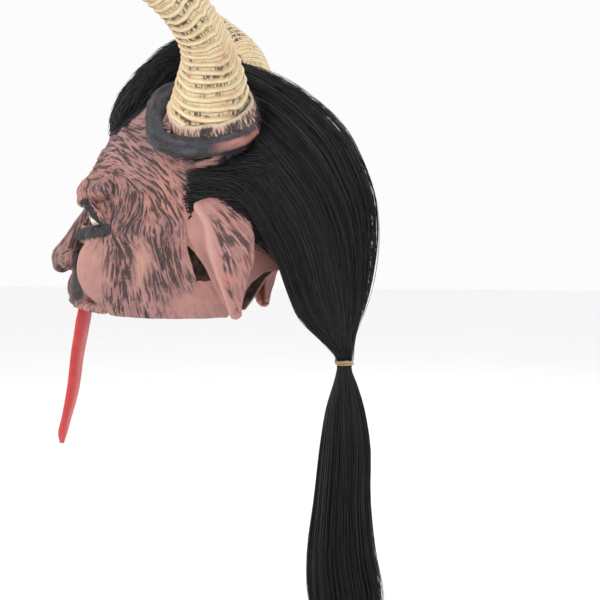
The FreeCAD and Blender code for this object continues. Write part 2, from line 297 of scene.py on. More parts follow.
def skin_material(name, grain=1.0):
    """Painted latex: vertex paint, fine stipple, brushed flecks and soft pores."""
    n = Nodes(name)
    place = n.position()
    paint = n.attribute("paint", "Color")
    groove = n.attribute("groove")
    speck = n.noise(place, 900, 2, 0.6)
    blotch = n.noise(place, 70, 4, 0.6)
    colour = n.mix(n.ramp(blotch, 0.42, 0.72, 0.0, 0.30), paint, srgb(196, 142, 126))
    colour = n.mix(n.math("MULTIPLY", n.ramp(groove, 0.25, 0.85), 0.92), colour, paint)
    fleck = n.math("MULTIPLY", n.ramp(speck, 0.60, 0.72), n.ramp(groove, 0.05, 0.4, 0.12, 0.75))
    colour = n.mix(fleck, colour, srgb(66, 56, 58))
    light = n.ramp(n.noise(place, 1400, 1, 0.5), 0.60, 0.74, 0.0, 0.35)
    colour = n.mix(light, colour, srgb(214, 176, 166))
    rough = n.ramp(blotch, 0.3, 0.7, 0.52, 0.72)
    pores = n.bump(n.noise(place, 1100, 3, 0.6), 0.0004 * grain, 0.55)
    creases = n.bump(n.noise(place, 320, 4, 0.65), 0.0009 * grain, 0.5, pores)
    return n.finish(colour, rough, creases, Specular_IOR_Level=0.32)


def horn_material():
    """Ivory paint with dark brush strokes under each ring, and painted shade in the grooves between the
    rings.
    """
    n = Nodes("horn_paint")
    around = n.attribute("around", "Vector")
    phase = n.attribute("phase")
    height = n.attribute("ridge")
    step_in = n.math("FRACT", phase)
    thin = n.noise(n.stretch(around, (1.0, 1.0, 0.16)), 0.55, 2, 0.5)
    thick = n.noise(n.stretch(around, (1.0, 1.0, 0.22)), 0.24, 2, 0.5)
    patch = n.noise(around, 0.030, 3, 0.6)
    band = n.math("MULTIPLY", n.ramp(step_in, 0.34, 0.60), n.ramp(step_in, 1.0, 0.88))
    line = n.math("MULTIPLY", n.ramp(step_in, 0.80, 0.93), n.ramp(step_in, 1.0, 0.96))
    stroke = n.math("MULTIPLY", n.ramp(thin, 0.46, 0.56), band)
    stroke = n.math("MULTIPLY", stroke, n.ramp(patch, 0.44, 0.58))
    heavy = n.math("MULTIPLY", n.math("MULTIPLY", n.ramp(thick, 0.48, 0.56), n.ramp(step_in, 0.5, 0.72)),
                   n.ramp(patch, 0.50, 0.62))
    base = n.mix(n.ramp(n.noise(around, 0.045, 3, 0.6), 0.35, 0.7), srgb(232, 214, 174),
                 srgb(222, 190, 152))
    cream = n.ramp(n.noise(around, 0.10, 3, 0.6), 0.5, 0.75, 0.0, 0.7)
    base = n.mix(cream, base, srgb(240, 226, 176))
    # Painted shade: browner where the ridge height is low, in the grooves between the rings.
    base = n.mix(n.ramp(height, 0.45, 0.0, 0.0, 0.55), base, srgb(176, 146, 112))
    base = n.mix(n.ramp(thin, 0.62, 0.42, 0.0, 0.22), base, srgb(190, 160, 122))
    dark = n.math("MAXIMUM", n.math("MAXIMUM", stroke, heavy), n.math("MULTIPLY", line, 0.75))
    colour = n.mix(n.math("MULTIPLY", dark, 0.93), base, srgb(52, 48, 42))
    grain = n.bump(thin, 0.0012, 0.65)
    pits = n.bump(n.noise(around, 1.2, 3), 0.0004, 0.5, grain)
    return n.finish(colour, n.ramp(thin, 0.3, 0.7, 0.42, 0.6), pits, Specular_IOR_Level=0.35)


def hair_material():
    n = Nodes("black_hair")
    shade = n.attribute("shade")
    colour = n.mix(n.ramp(shade, 0.2, 1.0), srgb(16, 16, 18), srgb(38, 37, 40))
    return n.finish(colour, 0.45, Specular_IOR_Level=0.32)


def plush_material(name, low, high):
    """Combed hair mass below the strands: streaks that follow the attribute flow."""
    n = Nodes(name)
    flow = n.attribute("flow", "Vector")
    streak = n.noise(flow, 1.0, 3, 0.6)
    colour = n.mix(n.ramp(streak, 0.35, 0.7), low, high)
    return n.finish(colour, 0.55, n.bump(streak, 0.0016, 0.8), Specular_IOR_Level=0.3)


def cloth_material(name, low, high, scale=1500):
    """Woven cloth: two crossed waves and a little fuzz."""
    n = Nodes(name)
    place = n.position()
    warp = n.add("ShaderNodeTexWave", {"Vector": place, "Scale": scale, "Distortion": 0.6},
                 bands_direction="Z").outputs["Fac"]
    weft = n.add("ShaderNodeTexWave", {"Vector": place, "Scale": scale, "Distortion": 0.6},
                 bands_direction="DIAGONAL").outputs["Fac"]
    weave = n.math("MULTIPLY", warp, weft)
    fuzz = n.ramp(n.noise(place, 600), 0.3, 0.8, 0, 0.4)
    colour = n.mix(n.math("ADD", n.math("MULTIPLY", weave, 0.6), fuzz), low, high)
    return n.finish(colour, 0.85, n.bump(weave, 0.0005, 0.6), Sheen_Weight=0.25)


def foam_material():
    n = Nodes("horn_foam")
    place = n.position()
    cell = n.add("ShaderNodeTexVoronoi", {"Vector": place, "Scale": 700}).outputs["Distance"]
    colour = n.mix(cell, srgb(190, 178, 140), srgb(226, 216, 180))
    return n.finish(colour, 0.9, n.bump(cell, 0.0006, 0.8))


def tongue_material():
    n = Nodes("tongue_paint")
    place = n.position()
    paint = n.attribute("paint", "Color")
    cells = n.add("ShaderNodeTexVoronoi", {"Vector": place, "Scale": 650}, feature="SMOOTH_F1")
    bumps = cells.outputs["Distance"]
    wet = n.noise(place, 90, 3, 0.6)
    colour = n.mix(n.ramp(wet, 0.35, 0.75, 0.0, 0.45), paint, srgb(214, 84, 80))
    colour = n.mix(n.ramp(bumps, 0.0, 0.5, 0.22, 0.0), colour, srgb(160, 40, 44))
    rough = n.ramp(wet, 0.3, 0.7, 0.30, 0.48)
    return n.finish(colour, rough, n.bump(bumps, 0.0006, 0.5), Specular_IOR_Level=0.5)


def eye_material(name, centre):
    """Glossy dome: white with fine veins, an amber iris and a dark ring round the sight hole."""
    n = Nodes(name)
    place = n.position()
    away = n.add("ShaderNodeVectorMath", {0: place, 1: centre}, operation="SUBTRACT").outputs[0]
    flat = n.stretch(away, (1.0, 0.0, 1.0))
    radius = n.add("ShaderNodeVectorMath", {0: flat}, operation="LENGTH").outputs["Value"]
    white = n.mix(n.ramp(n.noise(place, 500, 4, 0.7, 2.0), 0.56, 0.68, 0.0, 0.5), srgb(238, 232, 220),
                  srgb(190, 110, 96))
    fibre = n.noise(flat, 900, 3, 0.6)
    amber = n.mix(n.ramp(fibre, 0.35, 0.7), srgb(150, 96, 20), srgb(226, 168, 52))
    colour = n.mix(n.ramp(radius, 0.0119, 0.0113), white, amber)
    edge = n.math("MULTIPLY", n.ramp(radius, 0.0107, 0.0117), n.ramp(radius, 0.0127, 0.0119))
    colour = n.mix(edge, colour, srgb(70, 40, 16))
    colour = n.mix(n.ramp(radius, 0.0056, 0.0048), colour, srgb(14, 12, 12))
    waves = n.bump(n.noise(place, 300, 2), 0.0002, 0.2)
    return n.finish(colour, 0.12, waves, Coat_Weight=0.6, Coat_Roughness=0.06)


def elastic_material():
    n = Nodes("tie_elastic")
    place = n.position()
    rib = n.add("ShaderNodeTexWave", {"Vector": place, "Scale": 520, "Distortion": 1.0},
                bands_direction="DIAGONAL").outputs["Fac"]
    colour = n.mix(rib, srgb(146, 112, 66), srgb(214, 180, 122))
    return n.finish(colour, 0.7, n.bump(rib, 0.0004, 0.7), Sheen_Weight=0.3)


skin = skin_material("skin_paint")
ear_skin = skin_material("ear_paint")
collar_skin = skin_material("collar_paint", 0.8)
horn_paint = horn_material()
hair = hair_material()
hair_mass = plush_material("hair_mass", srgb(9, 9, 10), srgb(25, 25, 27))
tongue_paint = tongue_material()
elastic = elastic_material()
cap_cloth = cloth_material("cap_cloth", srgb(14, 14, 15), srgb(40, 39, 40))
foam = foam_material()


# ---------------------------------------------------------------- the face as a field of soft masses

def ellipsoid(p, centre, radii):
    q = (p - np.array(centre)) / np.array(radii)
    a = np.linalg.norm(q, axis=1)
    b = np.linalg.norm(q / np.array(radii), axis=1)
    return a * (a - 1) / np.maximum(b, 1e-6)


def limb(p, a, b, radius_a, radius_b):
    """Round bar from a to b whose radius changes evenly."""
    a = np.array(a, float)
    run = np.array(b, float) - a
    t = np.clip((p - a) @ run / (run @ run), 0, 1)
    return np.linalg.norm(p - a - t[:, None] * run, axis=1) - (radius_a + (radius_b - radius_a) * t)


def melt(d, other, soft):
    """Union of two fields with a rounded join."""
    h = np.clip(0.5 + 0.5 * (other - d) / soft, 0, 1)
    return other * (1 - h) + d * h - soft * h * (1 - h)


def carve(d, other, soft):
    return -melt(-d, other, soft)


EYE = np.array([34.0, -88.0, 109.0])
COLLAR_CENTRE = np.array([76, 35, 203.0])
COLLAR_AXIS = unit(np.array([0.60, -0.04, 0.80]))

MASSES = [
    # lower head, horn mounds, cheekbones, cheeks, jowls
    ("blob", (0, -2, 75), (83, 111, 135), 26),
    ("blob", (0, -18, 166), (70, 74, 60), 20),
    ("blob", (74, 30, 188), (47, 48, 42), 16),
    ("limb", (60, -72, 88), (78, -14, 88), 13, 9, 16),
    ("blob", (42, -77, 52), (35, 40, 42), 10),
    ("blob", (54, -40, 22), (27, 46, 32), 14),
    # brow, nose, wings, hooked tip
    ("limb", (0, -107, 131), (30, -107, 133), 10, 11, 9),
    ("limb", (30, -107, 133), (66, -76, 138), 11, 9, 10),
    ("limb", (30, -105, 135), (22, -86, 167), 11, 13, 10),
    ("limb", (0, -110, 118), (0, -144, 66), 9.5, 13.0, 7),
    ("blob", (0, -147, 61), (12, 13, 13), 6),
    ("blob", (14, -135, 60), (9.5, 13, 11), 4),
    ("blob", (0, -150, 52), (6.5, 8, 6), 5),
    # muzzle and rolled upper lip
    ("blob", (0, -108, 30), (32, 33, 30), 6),
    ("limb", (0, -134, 14), (28, -119, 11), 7, 6.5, 5),
    ("limb", (28, -119, 11), (46, -90, 5), 6.5, 5, 6),
]
HOLLOWS = [
    ("blob", (40, -116, 106), (25, 22, 15), 8),
    ("blob", (17, -122, 110), (9, 14, 12), 6),
    ("limb", (44, -112, 106), (68, -80, 93), 9, 4, 7),
    ("blob", (92, -50, 140), (14, 36, 26), 18),
    ("limb", (22, -139, 80), (46, -121, 16), 4.0, 3.6, 7),
    ("blob", (8, -146, 49), (5, 7, 6), 3),
]
UPPER_LID = [(15, -108, 120), (34, -113, 124), (50, -102, 121), (60, -86, 107), (66, -72, 93)]
LOWER_LID = [(15, -107, 114), (32, -111, 98), (51, -97, 93), (66, -71, 91)]
LID_BAG = [(18, -117, 88), (37, -111, 87), (54, -94, 87), (66, -73, 88)]
# Painted bands round the eye, as (y, z) seen from the side.
LID_BAND = [(-110, 123), (-104, 124), (-99, 117), (-91, 104), (-78, 92)]
BAG_BAND = [(-122, 87), (-109, 89), (-95, 92), (-77, 93)]
EYE_RADIUS = 18.0


def chain(points, radius, soft):
    """Bars that join the points of a line."""
    return [("limb", a, b, radius, radius, soft) for a, b in zip(points, points[1:])]

LIDS = chain(UPPER_LID, 5.4, 4) + chain(LOWER_LID, 3.6, 4) + chain(LID_BAG, 6.2, 6)


def shape(p, entry):
    if entry[0] == "blob":
        return ellipsoid(p, entry[1], entry[2]), entry[3]
    return limb(p, *entry[1:5]), entry[5]


def face_field(points):
    """Signed distance to the outer skin, roughly in millimetres; negative inside."""
    p = np.array(points, np.float32)
    p[:, 0] = np.abs(p[:, 0])
    d = ellipsoid(p, (0, 20, 150), (89, 113, 112))
    for entry in MASSES:
        d = melt(d, *shape(p, entry))
    for entry in HOLLOWS:
        d = carve(d, *shape(p, entry))
    for entry in LIDS:
        d = melt(d, *shape(p, entry))
    return melt(d, np.linalg.norm(p - EYE, axis=1) - EYE_RADIUS - 2.0, 2)


def face_normal(points):
    h = 0.4
    parts = [face_field(points + h * axis) - face_field(points - h * axis) for axis in np.eye(3)]
    return np.stack(parts, 1) / (2 * h)


def settle(points, rounds=3):
    """Move points on to the skin along the field's slope; returns them and their normals."""
    p = np.array(points, float)
    for _ in range(rounds):
        slope = face_normal(p)
        move = face_field(p)[:, None] * slope / np.maximum((slope ** 2).sum(1, keepdims=True), 0.05)
        p -= np.clip(move, -2.5, 2.5)
    return p, unit(face_normal(p))


def surface_net(field, origin, size):
    """Quads on the zero level of a sampled field, one point in each mixed cell."""
    shape3 = np.array(field.shape) - 1
    inside = field < 0
    corner = {}
    for c in product((0, 1), repeat=3):
        corner[c] = tuple(slice(k, k + n) for k, n in zip(c, shape3))
    count = sum(inside[s].astype(int) for s in corner.values())
    mixed = (count > 0) & (count < 8)
    index = np.full(mixed.shape, -1)
    index[mixed] = np.arange(mixed.sum())
    total = np.zeros(mixed.shape + (3,))
    hits = np.zeros(mixed.shape)
    for a in corner:
        for axis in range(3):
            if a[axis]:
                continue
            b = tuple(1 if k == axis else v for k, v in enumerate(a))
            fa, fb = field[corner[a]], field[corner[b]]
            cross = (fa < 0) != (fb < 0)
            t = np.where(cross, fa / np.where(cross, fa - fb, 1), 0)
            where = np.array(a, float) + t[..., None] * np.eye(3)[axis]
            total += np.where(cross[..., None], where, 0)
            hits += cross
    cells = np.argwhere(mixed)
    points = (cells + total[mixed] / hits[mixed][:, None]) * size + origin
    quads = []
    for axis in range(3):
        u, v = [k for k in range(3) if k != axis]
        here = np.argwhere(np.diff(inside.astype(np.int8), axis=axis) != 0)
        keep = (here[:, [u, v]] > 0).all(1) & (here[:, u] < field.shape[u] - 1)
        keep &= here[:, v] < field.shape[v] - 1
        here = here[keep]
        grows = inside[tuple(here.T)]
        ring = []
        for du, dv in ((0, 0), (-1, 0), (-1, -1), (0, -1)):
            cell = here.copy()
            cell[:, u] += du
            cell[:, v] += dv
            ring.append(index[tuple(cell.T)])
        quad = np.stack(ring, 1)
        flip = grows if axis == 1 else ~grows
        quad[flip] = quad[flip][:, ::-1]
        quads.append(quad)
    return points, np.vstack(quads)


def split_quads(points, quads):
    """Two triangles for each quad, cut along its shorter diagonal."""
    a, b, c, d = (points[quads[:, k]] for k in range(4))
    short = np.linalg.norm(a - c, axis=1) < np.linalg.norm(b - d, axis=1)
    first = np.where(short[:, None], quads[:, [0, 1, 2]], quads[:, [0, 1, 3]])
    second = np.where(short[:, None], quads[:, [0, 2, 3]], quads[:, [1, 2, 3]])
    return np.vstack([first, second])


def edge_keys(triangles, count):
    pairs = np.sort(np.stack([triangles[:, [0, 1]], triangles[:, [1, 2]], triangles[:, [2, 0]]], 1), axis=2)
    return pairs[..., 0] * count + pairs[..., 1]


def refine(points, triangles, chosen):
    """Split the chosen triangles in four, and their neighbours so that no gap opens."""
    count = len(points)
    keys = edge_keys(triangles, count)
    marked = np.unique(keys[chosen])
    middle = (points[marked // count] + points[marked % count]) / 2
    slot = np.searchsorted(marked, keys).clip(0, len(marked) - 1)
    hit = marked[slot] == keys
    new = count + slot
    total = hit.sum(1)
    result = [triangles[total == 0]]
    t, m = triangles[total == 3], new[total == 3]
    result += [np.stack([t[:, 0], m[:, 0], m[:, 2]], 1), np.stack([m[:, 0], t[:, 1], m[:, 1]], 1),
               np.stack([m[:, 2], m[:, 1], t[:, 2]], 1), m]
    for turn in range(3):
        r = [turn, (turn + 1) % 3, (turn + 2) % 3]
        one = (total == 1) & hit[:, r[0]]
        t, m = triangles[one][:, r], new[one][:, r]
        result += [np.stack([t[:, 0], m[:, 0], t[:, 2]], 1), np.stack([m[:, 0], t[:, 1], t[:, 2]], 1)]
        two = (total == 2) & ~hit[:, r[2]]
        t, m = triangles[two][:, r], new[two][:, r]
        result += [np.stack([m[:, 0], t[:, 1], m[:, 1]], 1), np.stack([t[:, 0], m[:, 0], m[:, 1]], 1),
                   np.stack([t[:, 0], m[:, 1], t[:, 2]], 1)]
    return np.vstack([points, middle]), np.vstack(result)


def trim(points, triangles, value):
    """Keep the part of a mesh where value is positive, cut exactly along value = 0."""
    value = np.where(np.abs(value) < 1e-3, 1e-3, value)
    count = len(points)
    keep = value > 0
    number = keep[triangles].sum(1)
    result = [triangles[number == 3]]
    crossing = []
    for lone, amount in ((True, 1), (False, 2)):
        for turn in range(3):
            r = [turn, (turn + 1) % 3, (turn + 2) % 3]
            t = triangles[number == amount][:, r]
            crossing.append((lone, t[keep[t[:, 0]] == lone]))
    ends = np.vstack([np.vstack([np.sort(t[:, [0, 1]], axis=1), np.sort(t[:, [0, 2]], axis=1)])
                      for _, t in crossing])
    keys = np.unique(ends[:, 0] * count + ends[:, 1])
    i, j = keys // count, keys % count
    w = (value[i] / (value[i] - value[j]))[:, None]
    points = np.vstack([points, points[i] * (1 - w) + points[j] * w])

    def cut_point(a, b):
        low, high = np.minimum(a, b), np.maximum(a, b)
        return count + np.searchsorted(keys, low * count + high)

    for lone, t in crossing:
        ab, ac = cut_point(t[:, 0], t[:, 1]), cut_point(t[:, 0], t[:, 2])
        if lone:
            result.append(np.stack([t[:, 0], ab, ac], 1))
        else:
            result.append(np.stack([ab, t[:, 1], t[:, 2]], 1))
            result.append(np.stack([ab, t[:, 2], ac], 1))
    triangles = np.vstack(result)
    used, inverse = np.unique(triangles, return_inverse=True)
    return points[used], inverse.reshape(-1, 3)


def rim_edges(triangles, count):
    """Directed edges that only one triangle has."""
    pairs = np.vstack([triangles[:, [0, 1]], triangles[:, [1, 2]], triangles[:, [2, 0]]])
    keys = np.sort(pairs, axis=1) @ np.array([count, 1])
    _, first, number = np.unique(keys, return_index=True, return_counts=True)
    return pairs[first[number == 1]]


def thicken(outer, inner, triangles):
    """Closed shell from an outer skin, a matching inner skin and the rim between them."""
    count = len(outer)
    rim = rim_edges(triangles, count)
    a, b = rim[:, 0], rim[:, 1]
    sides = np.stack([b, a, a + count, b + count], 1)
    return np.vstack([outer, inner]), [np.vstack([triangles, triangles[:, ::-1] + count]), sides]


def opening(points):
    """Positive on the skin that stays, negative over the eye slits, nostrils, ear holes and neck."""
    x, y, z = np.abs(points[:, 0]), points[:, 1], points[:, 2]
    edge_y = [-138, -122, -100, -60, 0, 50, 64, 76, 88, 106, 140]
    edge_z = [9, 8, 4, 1, 0, 1, 20, 38, 48, 51, 53]
    hem = np.interp(y, edge_y, edge_z) + 5 * np.exp(-(x / 22) ** 2) * step(-95, -120, y)
    hem = hem + 0.8 * noise(np.stack([x * 0, y, x], 1) / 14, 3)
    value = z - hem
    tilt = math.radians(24)
    across = (x - 36) * math.cos(tilt) - (z - 108) * math.sin(tilt)
    up = (x - 36) * math.sin(tilt) + (z - 108) * math.cos(tilt)
    almond = np.abs(up) - 8.6 * (1 - np.clip(np.abs(across) / 20.5, 0, 2) ** 2)
    value = np.minimum(value, np.where(y < -76, almond, 30))
    nostril = np.linalg.norm(np.stack([x, y, z], 1) - np.array([8.5, -145, 49]), axis=1) - 4.0
    value = np.minimum(value, nostril)
    ragged = 1.0 * noise(points / 5, 4)
    inside = np.minimum.reduce([y - np.interp(z, [40, 74], [22, 14]), z - 40,
                                ((47 - y) * 32 + (44 - z) * 32) / 45]) + ragged
    return np.minimum(value, np.where(x > 55, -inside, 30))


def near(points, centre, radii):
    """Soft mask, 1 at the centre and about 0 beyond the radii, the same on both sides."""
    p = points.copy()
    p[:, 0] = np.abs(p[:, 0])
    q = (p - np.array(centre)) / np.array(radii)
    return np.exp(-1.6 * (q ** 2).sum(1))


def wrinkle_flow(points, normals):
    """Direction of the creases: down past the eye's corner and the cheek, across temple and forehead."""
    x = np.abs(points[:, 0])
    y, z = points[:, 1], points[:, 2]
    corner = np.array([64.0, -68.0, 91.0])
    p = np.stack([x, y, z], 1)
    fan = unit(p - corner)
    fan = fan * np.tanh((90 - z) / 9)[:, None]
    gather = np.clip((y + 62) * 0.007, -0.3, 0.3) * np.tanh((80 - z) / 16)
    pinch = np.stack([0.05 + 0 * y, gather, -1 + 0 * y], 1)
    back = np.stack([0 * y, 1 + 0 * y, -0.42 + 0.35 * np.sin(y / 19 + z / 13)], 1)
    arc = np.stack([0.6 + 0 * y, 0.5 + 0 * y, -0.5 * step(-90, -50, y) + 0.2], 1)
    over = np.stack([0 * y, -0.45 + 0 * y, -0.9 + 0 * y], 1)
    w_pinch = 1.1 * step(150, 126, z) + 0.15
    w_back = 1.8 * step(118, 152, z) * step(-70, -36, y) + 1.2 * step(-46, -18, y) * step(84, 110, z)
    w_arc = 1.8 * step(146, 166, z) * step(-30, -62, y)
    w_fan = 1.5 * np.exp(-((p - corner) ** 2).sum(1) / 34 ** 2)
    w_over = step(26, 12, x) * step(-104, -118, y) * 3
    d = fan * w_fan[:, None] + pinch * w_pinch[:, None] + back * w_back[:, None]
    d = d + arc * w_arc[:, None] + over * w_over[:, None]
    d = d + 0.25 * np.stack([noise(points / 19, 31), noise(points / 19, 32), noise(points / 19, 33)], 1)
    d[:, 0] *= np.sign(points[:, 0])
    d = d - normals * (d * normals).sum(1, keepdims=True)
    return unit(d)


def sculpt(points, normals):
    """Crease depth in millimetres and the dark paint that lies in the creases."""
    flow = wrinkle_flow(points, normals)
    wide = streaks(points, flow, 1.9, 18, 5)
    fine = streaks(points, flow, 1.2, 10, 6)
    broad = streaks(points, flow, 4.6, 40, 7, 9)
    cheek = near(points, (44, -108, 48), (36, 26, 38)) + 0.8 * near(points, (70, -92, 46), (24, 18, 34))
    tan_patch = near(points, (78, -36, 62), (22, 13, 26))
    by_ear = near(points, (82, 26, 84), (40, 22, 40)) + near(points, (76, 16, 10), (40, 40, 26))
    by_ear = np.clip(1.4 * by_ear + step(14, 30, points[:, 1]) * step(155, 130, points[:, 2]), 0, 1)
    brow = near(points, (26, -124, 132), (22, 12, 14))
    nose_tip = near(points, (12, -150, 58), (14, 14, 12))
    density = 1 - 0.93 * np.clip(cheek * 2.0, 0, 1)
    density *= 1 - 0.8 * np.clip(tan_patch * 1.3, 0, 1)
    density *= (1 - 0.82 * by_ear) * (1 - 0.75 * nose_tip) * (1 - 0.85 * brow)
    density *= step(225, 200, points[:, 2]) * step(84, 60, points[:, 1])
    density = np.maximum(density, 0.9 * near(points, (46, -90, 8), (20, 20, 10)))
    bands = near(points, (70, -60, 44), (40, 13, 46)) + near(points, (80, -12, 56), (40, 14, 38)) \
        + near(points, (70, -50, 108), (30, 30, 30))
    bands = np.clip(bands, 0, 1)
    groove = step(0.0, 0.44, -wide + 0.18 * bands) + 0.85 * step(0.10, 0.55, -fine + 0.2 * bands)
    groove = np.clip(groove + 0.35 * step(0.2, 0.8, -broad), 0, 1) * density
    ridge = step(0.0, 0.6, wide) * 0.6 + step(0.1, 0.8, fine) * 0.25
    lumps = noise(points / 12, 14) * 0.6 + noise(points / 5, 15) * 0.2
    depth = -1.15 * groove + (0.75 * ridge - 0.8 * step(0.2, 0.8, -broad)) * density + lumps * 0.55
    return depth, groove, density, bands, tan_patch, by_ear


def beside(points, line, width):
    """Mask that is 1 near a line of points, seen from the side, and 0 beyond width."""
    nearest = np.minimum.reduce([limb(points[:, 1:], a, b, 0, 0) for a, b in zip(line, line[1:])])
    nearest = nearest + 1.2 * noise(points / 5, 25)
    return step(width, 0.6 * width, nearest) * step(10, 16, np.abs(points[:, 0]))


def wash(base, colour, amount):
    return base + (colour - base) * np.clip(amount, 0, 1)[:, None]


def airbrush(base, points, spots):
    """Wash soft round spots over a colour, each given as colour, strength, centre and radii."""
    for colour, strength, centre, radii in spots:
        base = wash(base, colour, strength * near(points, centre, radii))
    return base


def face_paint(points, groove, density, bands, tan_patch, by_ear):
    """Airbrushed colour of the outer skin."""
    rose, warm, tan = srgb(166, 121, 114), srgb(178, 124, 107), srgb(186, 142, 124)
    mauve, slate, dark = srgb(146, 112, 114), srgb(36, 41, 46), srgb(46, 38, 42)
    grey = srgb(124, 108, 106)
    z = points[:, 2]
    colour = np.tile(rose, (len(points), 1))
    colour = airbrush(colour, points, [(warm, 0.85, (84, -20, 122), (40, 50, 40)),
                                       (warm, 0.6, (40, -100, 136), (40, 30, 20))])
    colour = wash(colour, mauve, 0.55 * step(-0.1, 0.6, noise(points / 24, 21)))
    colour = wash(colour, mauve, 0.45 * step(150, 185, z))
    colour = wash(colour, mauve * 0.8, 0.5 * step(0.1, 0.7, noise(points / 7, 24)))
    colour = wash(colour, tan, 0.75 * tan_patch)
    colour = wash(colour, srgb(168, 121, 114), 0.8 * by_ear)
    colour = airbrush(colour, points, [
        (srgb(182, 131, 120), 0.8, (48, -100, 58), (40, 26, 30)),
        (grey, 0.9, (0, -152, 60), (30, 22, 20)),
        (grey * 0.42, 1.3, (0, -138, 24), (40, 22, 26)),
        (srgb(96, 80, 80), 0.85, (0, -126, 96), (20, 26, 32)),
        (srgb(120, 112, 114), 0.8, (18, -124, 131), (20, 9, 12)),
    ])
    colour = wash(colour, dark, 0.30 * bands * density)
    colour = wash(colour, dark, np.clip(groove * 1.1, 0, 1) * 0.92)
    colour = wash(colour, dark, 0.34 * step(0.0, 0.8, noise(points / 9, 23)) * density)
    bag, upper = beside(points, BAG_BAND, 9.0), beside(points, LID_BAND, 5.5)
    colour = wash(colour, slate, bag)
    colour = wash(colour, slate * 0.5, upper)
    x, y = np.abs(points[:, 0]), points[:, 1]
    fold = step(-134, -127, y) * step(-112, -118, y) * step(6, 14, x) * step(38, 30, x)
    fold = fold * step(98, 90, z) * step(4, 14, z)
    colour = wash(colour, slate * 1.2, 0.95 * fold)
    nostril = 1.6 * near(points, (8.5, -146, 48), (8, 8, 7))
    colour = wash(colour, slate * 0.8, nostril)
    return colour, np.clip(bag + upper + fold + nostril, 0, 1)


def make_face():
    cell = 2.6
    axes = [np.arange(a, b, cell) for a, b in ((0, 113), (-170, 142), (-16, 272))]
    samples = np.stack(np.meshgrid(*axes, indexing="ij"), -1).reshape(-1, 3).astype(np.float32)
    half = face_field(samples).reshape([len(a) for a in axes])
    field = np.concatenate([half[:0:-1], half])
    points, quads = surface_net(field, np.array([-axes[0][-1], axes[1][0], axes[2][0]]), cell)
    points, _ = settle(points, 2)
    triangles = split_quads(points, quads)
    points, triangles = trim(points, triangles, points[:, 2] + 12)
    middle = points[triangles].mean(1)
    points, triangles = refine(points, triangles, (middle[:, 1] < 44) & (middle[:, 2] < 212))
    points, _ = settle(points, 1)
    middle = points[triangles].mean(1)
    points, triangles = refine(points, triangles, (middle[:, 1] < 20) & (middle[:, 2] < 200))
    points, _ = settle(points, 1)
    points, triangles = trim(points, triangles, opening(points))
    normals = unit(face_normal(points))
    depth, groove, *masks = sculpt(points, normals)
    calm = step(0.0, 4.0, opening(points))
    outer = points + normals * (depth * calm)[:, None]
    mirrored = np.abs(points) * [1, 0, 0] + points * [0, 1, 1]
    room = np.linalg.norm(mirrored - EYE, axis=1) - EYE_RADIUS - 0.4
    inner = points - normals * np.clip(room, 1.2, 3.5)[:, None]
    colours, cover = face_paint(points, groove, *masks)
    groove = np.maximum(groove, cover)
    # Painted shade: the inside skin is near-black so that the eye slits, nostrils and ear holes read as dark.
    inside = np.tile(srgb(42, 34, 33), (len(points), 1)) * (1 + 0.3 * noise(points / 15, 9))[:, None]
    shell, faces = thicken(outer, inner, triangles)
    obj = build("latex_face", shell, faces, skin, np.vstack([colours, inside]),
                {"groove": np.concatenate([groove, groove * 0])})
    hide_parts("face_shell")
    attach(obj, "head")
    print("face points", len(shell), "triangles", 2 * len(triangles))
    return points, triangles, normals


face_points, face_triangles, face_normals = make_face()


# ---------------------------------------------------------------- horns

# Centre line and radius of the left horn.
HORN = np.array([(56, 23, 170, 43.5), (76, 33, 198, 43), (101, 43, 234, 38), (131, 45, 271, 26.5),
                 (163, 30, 305, 23), (190, -6, 338, 21), (206, -50, 373, 18), (208, -89, 414, 12.5),
                 (201, -112, 462, 4)], float)
# The rings start this far along the centre line, inside the collar.
HORN_START = 48


